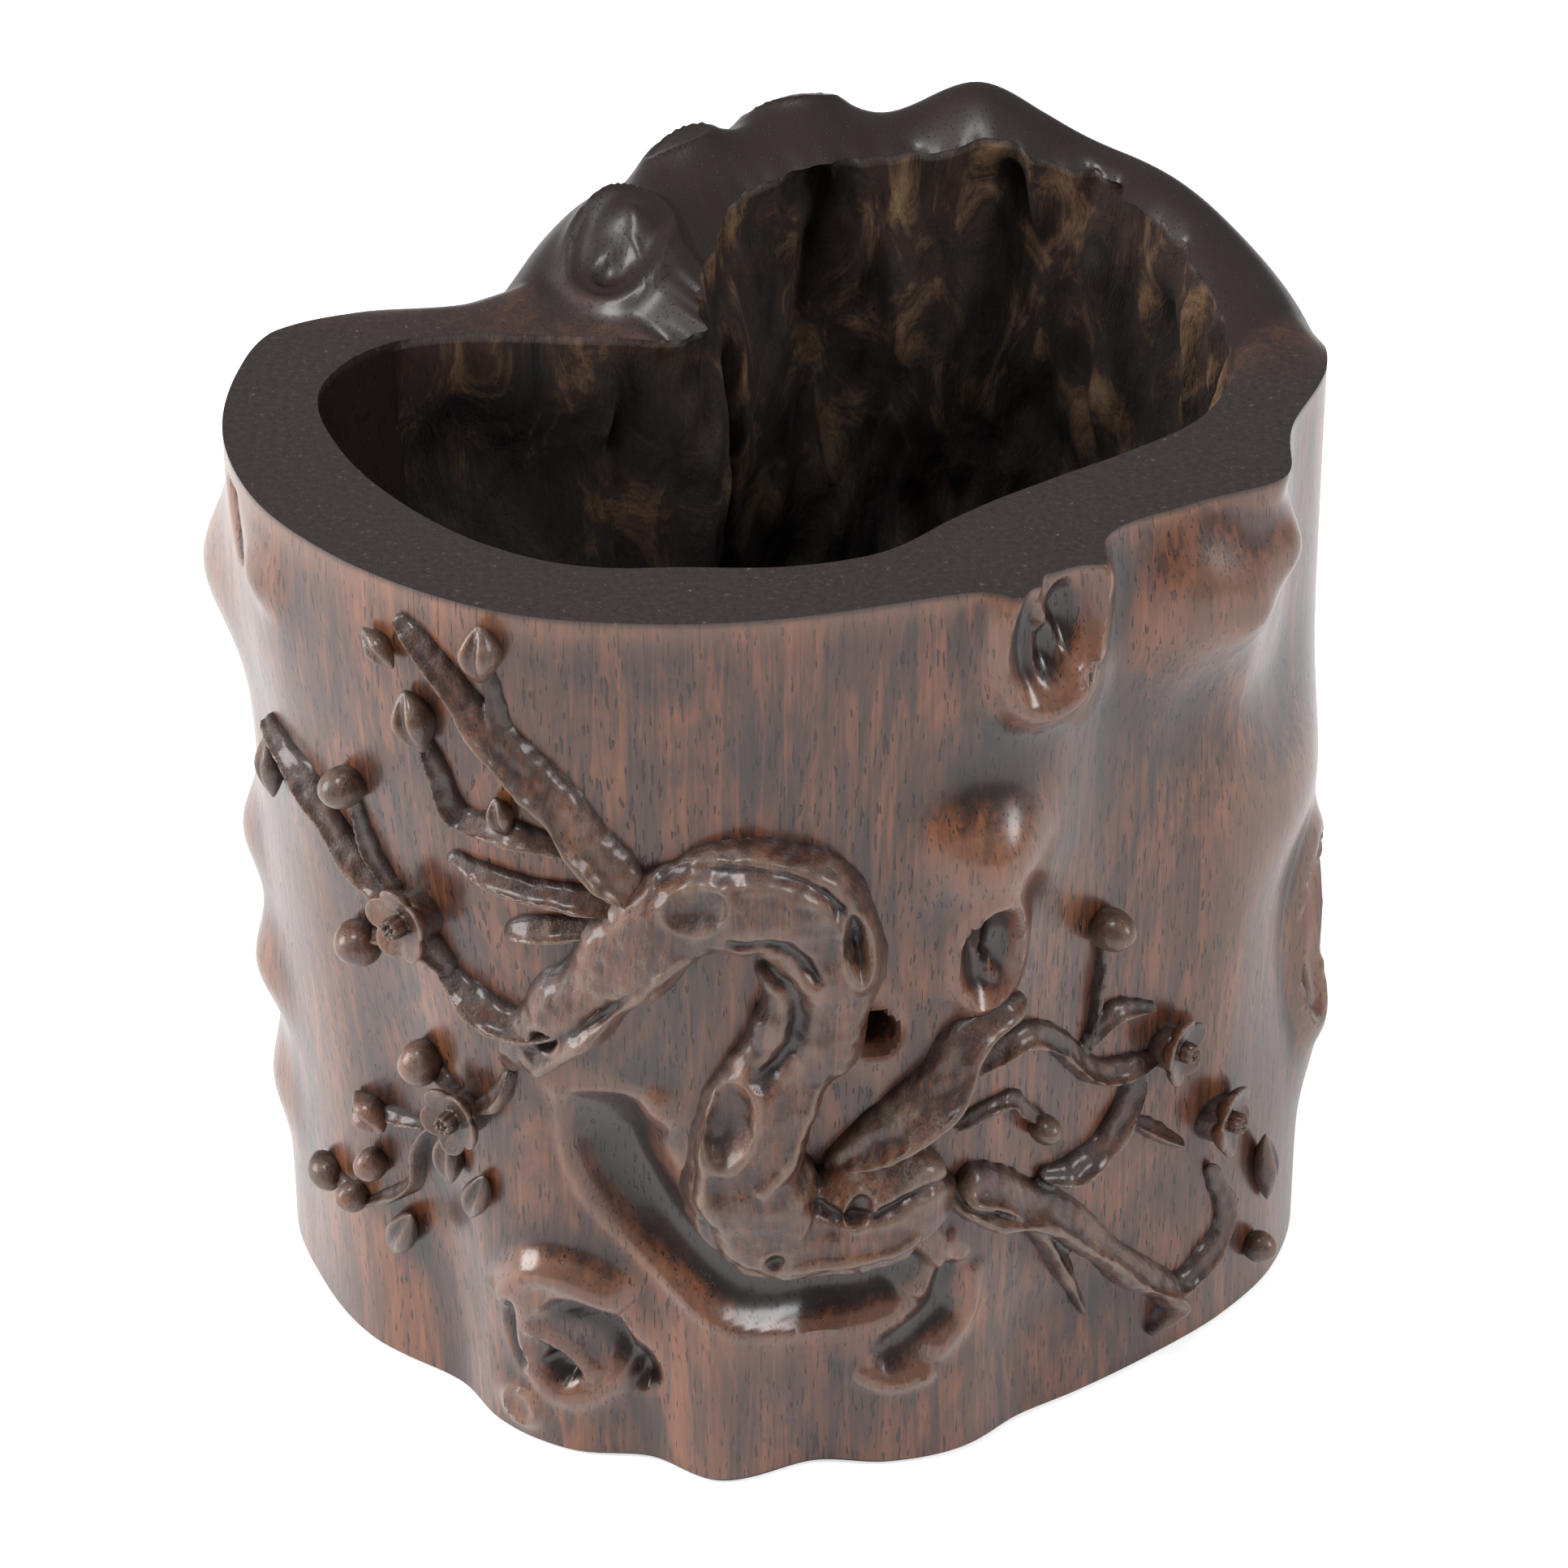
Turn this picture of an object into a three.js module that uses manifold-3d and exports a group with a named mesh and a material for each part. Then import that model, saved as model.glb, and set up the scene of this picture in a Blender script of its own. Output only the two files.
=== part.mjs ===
// Wooden brush pot: a hollow block of knotty wood with a plum branch carved round its front.
// Millimetres, +Z up. The front looks along -Y, and the foot stands on z = 0.
// A place on the wall is an angle in degrees from the front, positive to the right, and a height.
import * as THREE from 'three';
import { mergeVertices } from 'three/addons/utils/BufferGeometryUtils.js';
import Module from 'manifold-3d';

const wasm = await Module();
wasm.setup();

// Driving sizes
const BODY_HEIGHT = 170;
const BODY_RADIUS = 90;
const CROWN_RISE = 16;
const CROWN_ROLL = 0.35;
const CROWN_SETTLE = 2.2;
const HOLLOW_TAPER = 0.14;
const FLOOR_HEIGHT = 11;
const SHOULDER_WIDTH = 7;
const FOOT_BEVEL = 1.2;
const BOARD_RECESS = 2;
const CLEARANCE = 0.3;
const PLUG_RADIUS = 11;
const PEG_RADIUS = 1.6;
const PEG_DEPTH = 5;
const PEG_ANGLES = [-60, 35, 120, -150];
const RELIEF_LIFT = 0.12;
const RELIEF_SINK = 0.7;

// Counts of the mesh
const COLUMNS = 72;
const WALL_RINGS = 17;
const HOLLOW_RINGS = 7;
const RIM_SHARES = [0.2, 0.5, 0.8];
const BRANCH_SIDES = 6;
const BRANCH_STEPS = 1.3;
const PETAL_POINTS = 20;

const radians = (degrees) => (degrees * Math.PI) / 180;
const wrap = (degrees) => ((degrees + 540) % 360) - 180;

// The wall's outline: angle, radius at the rim and radius at the foot, as shares of BODY_RADIUS
const OUTLINE = [
  [-180, 0.83, 0.85], [-162, 0.75, 0.81], [-145, 0.67, 0.78], [-128, 0.63, 0.78],
  [-114, 0.66, 0.82], [-105, 0.82, 0.89], [-98, 0.94, 0.95], [-88, 0.985, 0.955],
  [-76, 1.02, 0.925], [-62, 1.03, 0.89], [-48, 1.01, 0.825], [-38, 0.99, 0.855],
  [-28, 0.965, 0.855], [-18, 0.925, 0.815], [-8, 0.89, 0.855], [4, 0.855, 0.79],
  [14, 0.835, 0.815], [24, 0.825, 0.82], [34, 0.83, 0.79], [46, 0.8, 0.81],
  [56, 0.845, 0.845], [66, 0.93, 0.9], [78, 0.925, 0.965], [90, 0.975, 0.995],
  [104, 1.0, 0.98], [122, 1.0, 0.945], [140, 0.975, 0.91], [160, 0.91, 0.87],
];

// The natural crown at the back: angle and its share of CROWN_RISE. The front is sawn flat.
const CROWN = [
  [-180, 0.98], [-170, 0.9], [-160, 0.76], [-150, 0.6], [-142, 0.66], [-133, 0.5],
  [-125, 0.3], [-118, 0.15], [-108, 0.04], [-98, 0], [-40, 0], [20, 0], [88, 0],
  [96, 0.08], [104, 0.26], [115, 0.36], [128, 0.5], [140, 0.66], [150, 0.86],
  [157, 1.0], [165, 0.86], [172, 0.92],
];

// The hollow's mouth about its own centre: angle and radius as a share of BODY_RADIUS
const HOLLOW_CENTRE = [8, -6];
const HOLLOW = [
  [-180, 0.65], [-165, 0.6], [-150, 0.46], [-138, 0.36], [-124, 0.32], [-112, 0.5],
  [-104, 0.76], [-97, 0.87], [-88, 0.92], [-76, 0.9], [-62, 0.86], [-48, 0.82],
  [-36, 0.77], [-22, 0.68], [-6, 0.63], [8, 0.585], [22, 0.515], [36, 0.49],
  [52, 0.51], [66, 0.57], [80, 0.66], [94, 0.72], [110, 0.76], [128, 0.8],
  [145, 0.83], [160, 0.75],
];

// Knots and hollows of the wood: angle, height, half width, half height, and how far it stands out
const KNOTS = [
  [31, 160, 13, 16, 4.5], [32, 163, 6, 9, -5.5], [38, 150, 4, 5, -2.5],
  [56, 152, 13, 15, 6], [68, 156, 7, 7, 3.5], [66, 169, 7, 5, 2], [66, 124, 16, 14, -3],
  [78, 96, 15, 16, 4], [86, 66, 5, 17, -4.5], [80, 66, 4, 16, 2.5], [90, 44, 12, 12, 3],
  [25, 121, 10, 8, 4.5], [25, 105, 5, 9, -4.5], [11, 89, 5, 5, -7],
  [-27, 38, 12, 6, 4.5], [-33, 25, 5, 11, 3.5], [-24, 25, 7, 8, -4.5], [-29, 18, 4, 6, -3.5],
  [-34, 8, 4, 4, 2], [-87, 138, 12, 14, 6.5], [-87, 85, 9, 9, 4], [-81, 63, 8, 9, 4],
  [-86, 34, 9, 9, 2.5], [-70, 160, 4, 7, -3.5], [-62, 157, 6, 7, 2.5],
  [19, 42, 5, 10, 2.5], [14, 30, 7, 8, -3.5], [120, 120, 16, 18, 5], [165, 95, 18, 20, 5],
  [-150, 125, 14, 16, 5], [-130, 60, 15, 18, 4.5], [150, 45, 14, 14, 4], [-172, 150, 12, 10, 3],
];

// Knot masses and hollows on top of the crown: x, y, half width, half depth and rise
const CROWN_KNOTS = [
  [-31, 35, 14, 13, 4.5], [-27, 28, 6, 7, -2.5], [-18, 57, 9, 9, 4], [-9, 65, 5, 6, -2.5],
  [1, 70, 11, 8, 4], [15, 73, 7, 9, -2.5], [32, 68, 13, 10, 3.5], [62, 47, 12, 12, 1.8],
  [-47, 23, 9, 6, 1.5],
];

// The deep groove scooped into the wall round the foot of the stem
const GROOVE_DEPTH = 3.4;
const GROOVE_REACH = 7;
const GROOVE = [
  [-20, 74], [-20, 64], [-16, 55], [-10, 46], [-3, 39], [3, 37], [11, 38], [17, 46],
];

// A smooth closed run through values given at angles
function aroundAt(rows, column, degrees) {
  const angle = wrap(degrees);
  let next = rows.findIndex((row) => row[0] > angle);
  if (next < 0) next = 0;
  const count = rows.length;
  const pick = (k) => rows[(k + count) % count];
  const from = pick(next - 1);
  const to = pick(next);
  const span = (to[0] - from[0] + 360) % 360;
  const t = ((angle - from[0] + 360) % 360) / span;
  const before = pick(next - 2)[column];
  const after = pick(next + 1)[column];
  const a = from[column];
  const b = to[column];
  return 0.5 * (2 * a + (b - before) * t + (2 * before - 5 * a + 4 * b - after) * t * t
    + (3 * a - before - 3 * b + after) * t * t * t);
}

const crownShare = (degrees) => Math.max(0, aroundAt(CROWN, 1, degrees));
const rimHeight = (degrees) => BODY_HEIGHT + CROWN_RISE * crownShare(degrees);
const crownDrop = (degrees) => CROWN_ROLL * CROWN_RISE * crownShare(degrees);

// Rise of the crown's knots at a place, none where the rim is sawn
function crownRelief(degrees, point) {
  let rise = -CROWN_SETTLE;
  for (const [x, y, wide, deep, high] of CROWN_KNOTS) {
    rise += high * Math.exp(-(((point.x - x) / wide) ** 2) - ((point.y - y) / deep) ** 2);
  }
  return rise * Math.min(1, 2.5 * crownShare(degrees));
}

// Half sizes of a knot are measured on the wall, which stands at about this share of BODY_RADIUS
const MEAN_RADIUS_SHARE = 0.9;

function bump(degrees, height, knot) {
  const arc = radians(wrap(degrees - knot[0])) * BODY_RADIUS * MEAN_RADIUS_SHARE;
  const along = arc / knot[2];
  const up = (height - knot[1]) / knot[3];
  return knot[4] * Math.exp(-(along * along + up * up));
}

// How far the wall stands from the axis
function wallRadius(degrees, height) {
  const rim = aroundAt(OUTLINE, 1, degrees);
  const foot = aroundAt(OUTLINE, 2, degrees);
  const t = THREE.MathUtils.smoothstep(height, 0, BODY_HEIGHT);
  let radius = BODY_RADIUS * (foot + (rim - foot) * t);
  for (const knot of KNOTS) radius += bump(degrees, height, knot);
  for (const [angle, level] of GROOVE) {
    radius -= bump(degrees, height, [angle, level, GROOVE_REACH, GROOVE_REACH, GROOVE_DEPTH]);
  }
  return radius;
}

function hollowRadius(degrees, height) {
  const mouth = BODY_RADIUS * aroundAt(HOLLOW, 1, degrees);
  const depth = 1 - THREE.MathUtils.clamp(height / BODY_HEIGHT, 0, 1);
  return mouth * (1 - HOLLOW_TAPER * depth);
}

const onWall = (degrees, height, out = 0) => {
  const radius = wallRadius(degrees, height) + out;
  return new THREE.Vector3(
    radius * Math.sin(radians(degrees)), -radius * Math.cos(radians(degrees)), height);
};

const onHollow = (degrees, height, out, level = height) => {
  const radius = hollowRadius(degrees, level) + out;
  return new THREE.Vector3(
    HOLLOW_CENTRE[0] + radius * Math.sin(radians(degrees)),
    HOLLOW_CENTRE[1] - radius * Math.cos(radians(degrees)), height);
};

// Closed solids from rings of points
function solidFromRings(rings, closedLoop) {
  const columns = rings[0].length;
  const places = rings.flat().flatMap((point) => [point.x, point.y, point.z]);
  const faces = [];
  const last = closedLoop ? rings.length : rings.length - 1;
  for (let ring = 0; ring < last; ring += 1) {
    const above = (ring + 1) % rings.length;
    for (let column = 0; column < columns; column += 1) {
      const right = (column + 1) % columns;
      const a = ring * columns + column;
      const b = ring * columns + right;
      const c = above * columns + right;
      const d = above * columns + column;
      faces.push(a, b, c, a, c, d);
    }
  }
  if (!closedLoop) {
    for (let column = 1; column < columns - 1; column += 1) {
      faces.push(0, column + 1, column);
      const top = (rings.length - 1) * columns;
      faces.push(top, top + column, top + column + 1);
    }
  }
  const geometry = new THREE.BufferGeometry();
  geometry.setAttribute('position', new THREE.Float32BufferAttribute(places, 3));
  geometry.setIndex(faces);
  return geometry;
}

function toSolid(geometry) {
  const plain = geometry.clone();
  plain.deleteAttribute('normal');
  plain.deleteAttribute('uv');
  const merged = mergeVertices(plain, 1e-4);
  return new wasm.Manifold(new wasm.Mesh({
    numProp: 3,
    vertProperties: new Float32Array(merged.attributes.position.array),
    triVerts: new Uint32Array(merged.index.array),
  }));
}

function toGeometry(solid) {
  const mesh = solid.getMesh();
  const geometry = new THREE.BufferGeometry();
  geometry.setAttribute('position', new THREE.BufferAttribute(mesh.vertProperties, 3));
  geometry.setIndex(new THREE.BufferAttribute(mesh.triVerts, 1));
  return geometry;
}

// The hollow block, walked as one closed loop of rings: outside, over the rim, down the hollow
const columnAngles = Array.from({ length: COLUMNS }, (_, k) => -180 + (360 * k) / COLUMNS);
const ringOf = (place) => columnAngles.map(place);
const loop = [ringOf((a) => onWall(a, 0, -FOOT_BEVEL))];
for (let k = 0; k <= WALL_RINGS; k += 1) {
  const t = k / WALL_RINGS;
  loop.push(ringOf((a) => onWall(a, FOOT_BEVEL + t * (rimHeight(a) - FOOT_BEVEL - crownDrop(a)))));
}
for (const share of RIM_SHARES) {
  loop.push(ringOf((a) => {
    const outside = onWall(a, BODY_HEIGHT);
    const inside = onHollow(a, BODY_HEIGHT, 0);
    const point = outside.lerp(inside, share);
    point.z = rimHeight(a) + crownRelief(a, point);
    return point;
  }));
}
for (let k = HOLLOW_RINGS; k >= 0; k -= 1) {
  const t = k / HOLLOW_RINGS;
  loop.push(ringOf((a) => {
    const top = rimHeight(a) - crownDrop(a);
    return onHollow(a, FLOOR_HEIGHT + t * (top - FLOOR_HEIGHT), 0);
  }));
}
loop.push(ringOf((a) => onHollow(a, FLOOR_HEIGHT, SHOULDER_WIDTH)));
loop.push(ringOf((a) => onHollow(a, 0, SHOULDER_WIDTH, FLOOR_HEIGHT)));
let block = toSolid(solidFromRings(loop, true));

// A branch lying on the wall: angle, height and radius at each point of its route
function branch(route) {
  const places = route.map(([a, z, r]) => onWall(a, z, r * RELIEF_LIFT - RELIEF_SINK));
  const curve = new THREE.CatmullRomCurve3(places, false, 'centripetal');
  const steps = Math.max(3, Math.round((route.length - 1) * BRANCH_STEPS));
  const rings = [];
  for (let k = 0; k <= steps; k += 1) {
    const t = k / steps;
    const centre = curve.getPoint(t);
    const along = curve.getTangent(t);
    const slot = t * (route.length - 1);
    const from = Math.min(Math.floor(slot), route.length - 2);
    const size = THREE.MathUtils.lerp(route[from][2], route[from + 1][2], slot - from);
    const outward = new THREE.Vector3(centre.x, centre.y, 0).normalize();
    const side = new THREE.Vector3().crossVectors(along, outward).normalize();
    const up = new THREE.Vector3().crossVectors(side, along).normalize();
    const ring = [];
    for (let n = 0; n < BRANCH_SIDES; n += 1) {
      const turn = (-2 * Math.PI * n) / BRANCH_SIDES;
      ring.push(centre.clone()
        .addScaledVector(side, size * Math.cos(turn))
        .addScaledVector(up, size * Math.sin(turn)));
    }
    rings.push(ring);
  }
  return solidFromRings(rings, false);
}

// A turned frame on the wall, its own z pointing out of the wood
function seat(geometry, degrees, height, out, spin = 0) {
  const outward = new THREE.Vector3(Math.sin(radians(degrees)), -Math.cos(radians(degrees)), 0);
  const up = new THREE.Vector3(0, 0, 1);
  const right = new THREE.Vector3().crossVectors(up, outward);
  const turn = new THREE.Matrix4().makeBasis(right, up, outward);
  turn.setPosition(onWall(degrees, height, out));
  const placed = geometry.clone().rotateZ(radians(spin));
  return placed.applyMatrix4(turn);
}

// A bud or leaf: a rounded body, longer along its own y
function bud(degrees, height, wide, long, thick, spin = 0) {
  const body = new THREE.SphereGeometry(1, 7, 5).scale(wide, long, thick);
  return seat(body, degrees, height, thick * 0.35, spin);
}

// A blossom: five round petals and a raised centre
function blossom(degrees, height, size, spin) {
  const outline = new THREE.Shape();
  const points = PETAL_POINTS;
  for (let k = 0; k < points; k += 1) {
    const turn = (2 * Math.PI * k) / points;
    const reach = size * (0.72 + 0.28 * Math.abs(Math.sin(2.5 * turn)));
    if (k === 0) outline.moveTo(reach, 0);
    else outline.lineTo(reach * Math.cos(turn), reach * Math.sin(turn));
  }
  const petals = new THREE.ExtrudeGeometry(outline, { depth: size * 0.9, bevelEnabled: false });
  petals.translate(0, 0, -size * 0.35);
  const centre = new THREE.CylinderGeometry(size * 0.28, size * 0.34, size * 0.5, 8);
  centre.rotateX(Math.PI / 2).translate(0, 0, size * 0.7);
  return [seat(petals, degrees, height, 0, spin), seat(centre, degrees, height, 0)];
}

const STEM = [
  [-33, 81, 4.5], [-25, 95, 6.5], [-18, 108, 8], [-12, 118, 8.5], [-4, 121, 9.5], [2, 117, 9.5],
  [4.5, 107, 9.5], [3, 94, 9], [-1, 84, 8.5], [-4, 73, 9], [-4, 62, 9.5], [0, 54, 10],
  [7, 54, 10], [14, 58, 9], [22, 57, 6.5],
];
const BRANCHES = [
  [[22, 58, 6], [28, 54, 4.5], [35, 43, 4], [40, 30, 3], [45, 16, 1.2]],
  [[20, 57, 6], [34, 47, 5.5], [42, 37, 5], [51, 23, 4.5], [58, 13, 4], [55, 6, 1.8]],
  [[5, 64, 4], [13, 72, 6], [19, 79, 6], [22, 87, 4.5], [27, 91, 3], [31, 91, 1.5]],
  [[22, 80, 3.5], [31, 83, 3], [37, 78, 3], [43, 69, 3], [48, 66, 3], [56, 65, 2]],
  [[43, 72, 2.2], [45, 87, 1.7], [45, 94, 1.7]],
  [[42, 74, 2.5], [47, 78, 2.5], [54, 75, 2]],
  [[35, 52, 3], [40, 50, 3.4], [46, 53, 3.2], [50, 60, 2.8], [51, 67, 2.4]],
  [[21, 69, 2.4], [29, 71, 2.2], [32, 67, 2], [35, 63, 2.4]],
  [[49, 56, 2.5], [59, 44, 2]],
  [[63, 37, 2.2], [66, 24, 2.2], [63, 17, 2.5], [58, 15, 3], [52, 20, 3]],
  [[-15, 119, 5], [-21, 130, 5], [-24, 138, 4.5], [-29, 146, 4], [-36, 158, 3], [-41, 165, 2.4]],
  [[-29, 146, 2.5], [-30, 153, 2.2], [-31, 160, 2.2]],
  [[-22, 128, 3], [-29, 130, 2.6], [-35, 131, 2.6], [-37, 138, 2.4], [-39, 144, 2.2]],
  [[-17, 118, 4], [-23, 119, 3.5], [-30, 120, 2.8], [-37, 122, 2]],
  [[-17, 114, 3.6], [-27, 112, 3], [-31, 110, 2]],
  [[-40, 99, 3.2], [-32, 92, 4], [-25, 94, 4], [-20, 102, 4.4], [-17, 112, 5]],
  [[-38, 98, 3.4], [-43, 105, 3.5], [-51, 113, 3.2], [-59, 124, 3], [-67, 126, 2.5]],
  [[-45, 109, 2.8], [-48, 115, 2.2], [-50, 125, 1.8]],
  [[-42, 105, 2.6], [-48, 98, 2.2], [-52, 95, 2.4]],
  [[-32, 81, 3.4], [-34, 74, 2.6], [-38, 69, 2.2]],
  [[-38, 69, 2.4], [-46, 60, 2.2], [-50, 52, 2.1], [-52, 42, 2.2], [-60, 32, 2]],
  [[-38, 69, 2.4], [-42, 72, 2.2], [-45, 74, 2.4]],
  [[-47, 58, 2.2], [-52, 56, 2.2], [-56, 55, 2.4]],
];
const BUDS = [
  [-31, 163, 3.4, 5.2, 3], [-43, 158, 2.2, 4.2, 1.8, 55], [-30, 133, 2.2, 3.6, 1.8, 15],
  [-67, 116, 3.2, 5.6, 2, 10], [-43, 55, 3, 5.5, 2, 0], [-38, 51, 2.6, 5.5, 2, -20],
  [-54, 30, 3, 7, 2, -30], [73, 28, 2.4, 9, 2, 15], [-39, 147, 3.4, 5.4, 3, 20],
  [-50, 127, 3.6, 3.6, 3.4], [-52, 94, 3.6, 4.2, 3.4, 60], [-45, 74, 3.6, 4.2, 3.4],
  [-56, 55, 3, 4.8, 2.8, 70], [-57, 43, 2.6, 3.2, 2.6], [-61, 33, 2.6, 3, 2.6],
  [-68, 33, 3, 4, 2.4], [45, 96, 3.7, 3.7, 3.6], [84, 24, 2.6, 4.4, 2.6], [72, 12, 2.8, 3, 2.6],
  [35, 62, 2.6, 2.6, 2.6],
];
const BLOSSOMS = [[-42, 107, 7, 10], [-39, 68, 6.6, 40], [56, 66, 6.4, 0], [64, 46, 6.8, 25]];

let carving = toSolid(branch(STEM));
for (const route of BRANCHES) carving = carving.add(toSolid(branch(route)));
for (const row of BUDS) carving = carving.add(toSolid(bud(...row)));
for (const row of BLOSSOMS) {
  for (const piece of blossom(...row)) carving = carving.add(toSolid(piece));
}
// Where a branch bridges a hollow, the pocket sealed behind it is filled: only the outer body is kept
const bodies = block.add(carving).decompose();
block = bodies.reduce((best, body) => (body.volume() > best.volume() ? body : best));

// Upright round pieces: pegs, plug and the bores for them
function upright(x, y, radius, low, high, sides = 20) {
  const body = new THREE.CylinderGeometry(radius, radius, high - low, sides);
  return body.rotateX(Math.PI / 2).translate(x, y, (low + high) / 2);
}
const pegPlaces = PEG_ANGLES.map((a) => onHollow(a, 0, SHOULDER_WIDTH / 2, FLOOR_HEIGHT));
for (const place of pegPlaces) {
  const top = FLOOR_HEIGHT + PEG_DEPTH + CLEARANCE;
  block = block.subtract(toSolid(
    upright(place.x, place.y, PEG_RADIUS + CLEARANCE, FLOOR_HEIGHT - 1, top)));
}

// The board lies in its rebate under the shoulder
const boardTop = FLOOR_HEIGHT - CLEARANCE;
const boardReach = SHOULDER_WIDTH - CLEARANCE;
const boardOutline = new THREE.Shape(ringOf((a) => {
  const point = onHollow(a, 0, boardReach, FLOOR_HEIGHT);
  return new THREE.Vector2(point.x, point.y);
}));
const boardBlank = new THREE.ExtrudeGeometry(boardOutline, {
  depth: boardTop - BOARD_RECESS, bevelEnabled: false,
});
let board = toSolid(boardBlank.translate(0, 0, BOARD_RECESS));
board = board.subtract(toSolid(upright(
  HOLLOW_CENTRE[0], HOLLOW_CENTRE[1], PLUG_RADIUS + CLEARANCE, BOARD_RECESS - 1, boardTop + 1, 32)));
for (const place of pegPlaces) {
  board = board.subtract(toSolid(
    upright(place.x, place.y, PEG_RADIUS + CLEARANCE, BOARD_RECESS - 1, boardTop + 1)));
}

const wood = new THREE.MeshStandardMaterial({ color: 0x5c3422, roughness: 0.4, metalness: 0 });
const boardWood = new THREE.MeshStandardMaterial({ color: 0x3c251a, roughness: 0.6, metalness: 0 });
const pegWood = new THREE.MeshStandardMaterial({ color: 0x8a6a42, roughness: 0.6, metalness: 0 });

const pot = new THREE.Group();
function place(name, geometry, material) {
  const mesh = new THREE.Mesh(geometry, material);
  mesh.name = name;
  pot.add(mesh);
}
place('trunk', toGeometry(block), wood);
place('base_board', toGeometry(board), boardWood);
place('base_plug', upright(
  HOLLOW_CENTRE[0], HOLLOW_CENTRE[1], PLUG_RADIUS, BOARD_RECESS, boardTop, 32), boardWood);
pegPlaces.forEach((spot, k) => {
  const peg = upright(spot.x, spot.y, PEG_RADIUS, BOARD_RECESS, FLOOR_HEIGHT + PEG_DEPTH, 16);
  place(`base_peg_${k + 1}`, peg, pegWood);
});

// The origin lies under the middle of the block
const span = new THREE.Box3().setFromObject(pot);
const middle = span.getCenter(new THREE.Vector3());
pot.position.set(-middle.x, -middle.y, 0);

export default pot;
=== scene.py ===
# %% [markdown]
# # A wooden brush pot, dressed for the camera
# A brush pot cut from one knotty block: the front rim is sawn flat, the back keeps its natural crown, and a
# plum branch is carved round the front from the same wood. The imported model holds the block, the board let
# into its foot, a plug and four pegs. Here the block gets its fine surface, and every piece its finish.

# %% Load the frame
import math

import bpy
import numpy as np
from mathutils import Matrix, Vector


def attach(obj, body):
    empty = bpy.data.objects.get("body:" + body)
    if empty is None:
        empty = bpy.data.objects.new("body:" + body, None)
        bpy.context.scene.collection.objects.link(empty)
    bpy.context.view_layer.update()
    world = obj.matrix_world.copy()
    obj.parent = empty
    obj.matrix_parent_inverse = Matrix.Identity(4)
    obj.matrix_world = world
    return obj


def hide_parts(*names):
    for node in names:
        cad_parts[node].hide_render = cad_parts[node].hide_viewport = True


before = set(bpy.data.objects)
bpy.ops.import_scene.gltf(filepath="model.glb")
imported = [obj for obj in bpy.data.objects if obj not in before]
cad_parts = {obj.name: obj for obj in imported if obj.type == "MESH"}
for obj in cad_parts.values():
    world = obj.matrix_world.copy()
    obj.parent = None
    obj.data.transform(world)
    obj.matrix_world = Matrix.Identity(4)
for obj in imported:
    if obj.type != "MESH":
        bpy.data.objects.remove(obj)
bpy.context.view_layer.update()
bpy.ops.object.select_all(action="DESELECT")
MM = 0.001

# %% [markdown]
# The camera stands where the photographer stood: 33 degrees above level, about a metre away, with a long
# lens. It is set first, so that every later step can be judged through it.

# %% Camera
AXIS = np.array((1.45, 2.71, 0))  # where the block's own axis stands in the frame, mm
CAMERA_PLACE = np.array((0, -861, 648.8))  # from the block's axis, mm
CAMERA_PITCH = 33.0
SENSOR_WIDTH = 36
FOCAL_SHARE = 7487.6 / 1932  # the focal length over the picture's width, both in pixels

bpy.ops.object.camera_add(
    location=list((CAMERA_PLACE + AXIS) * MM),
    rotation=(math.radians(90 - CAMERA_PITCH), 0, 0),
)
camera = bpy.context.object
camera.name = "photo_camera"
camera.data.sensor_width = SENSOR_WIDTH
camera.data.lens = SENSOR_WIDTH * FOCAL_SHARE
camera.data.clip_end = 20
bpy.context.scene.camera = camera
print("lens", round(camera.data.lens, 1), "mm")

# %% [markdown]
# The block is no turned shape: its outline swells and dents like a root. A spun or stretched cylinder would
# look machined, and sculpting by hand couldn't be repeated. So listed radii at angles round the axis
# give the outline at the sawn rim and at the foot, and a smooth run joins them. Angles are in degrees from
# the front, positive to the right. OUTLINE and HOLLOW hold shares of BODY_RADIUS, CROWN of CROWN_RISE.

# %% Outline of the block
BODY_HEIGHT = 170.0
BODY_RADIUS = 90.0
CROWN_RISE = 16.0
HOLLOW_TAPER = 0.14
FLOOR_HEIGHT = 11.0
SHOULDER_WIDTH = 7.0
FOOT_BEVEL = 1.2
HOLLOW_CENTRE = (8.0, -6.0)
OUTLINE = [
    (-180, 0.83, 0.85), (-162, 0.75, 0.81), (-145, 0.67, 0.78), (-128, 0.63, 0.78),
    (-114, 0.66, 0.82), (-105, 0.82, 0.89), (-98, 0.94, 0.95), (-88, 0.985, 0.955),
    (-76, 1.02, 0.925), (-62, 1.03, 0.89), (-48, 1.01, 0.825), (-38, 0.99, 0.855),
    (-28, 0.965, 0.855), (-18, 0.925, 0.815), (-8, 0.89, 0.855), (4, 0.855, 0.79),
    (14, 0.835, 0.815), (24, 0.825, 0.82), (34, 0.83, 0.79), (46, 0.8, 0.81),
    (56, 0.845, 0.845), (66, 0.93, 0.9), (78, 0.925, 0.965), (90, 0.975, 0.995),
    (104, 1, 0.98), (122, 1, 0.945), (140, 0.975, 0.91), (160, 0.91, 0.87),
]
CROWN = [
    (-180, 0.98), (-170, 0.9), (-160, 0.76), (-150, 0.6), (-142, 0.66), (-133, 0.5),
    (-125, 0.3), (-118, 0.15), (-108, 0.04), (-98, 0), (-40, 0), (20, 0), (88, 0),
    (96, 0.08), (104, 0.26), (115, 0.36), (128, 0.5), (140, 0.66), (150, 0.86),
    (157, 1), (165, 0.86), (172, 0.92),
]
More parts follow.
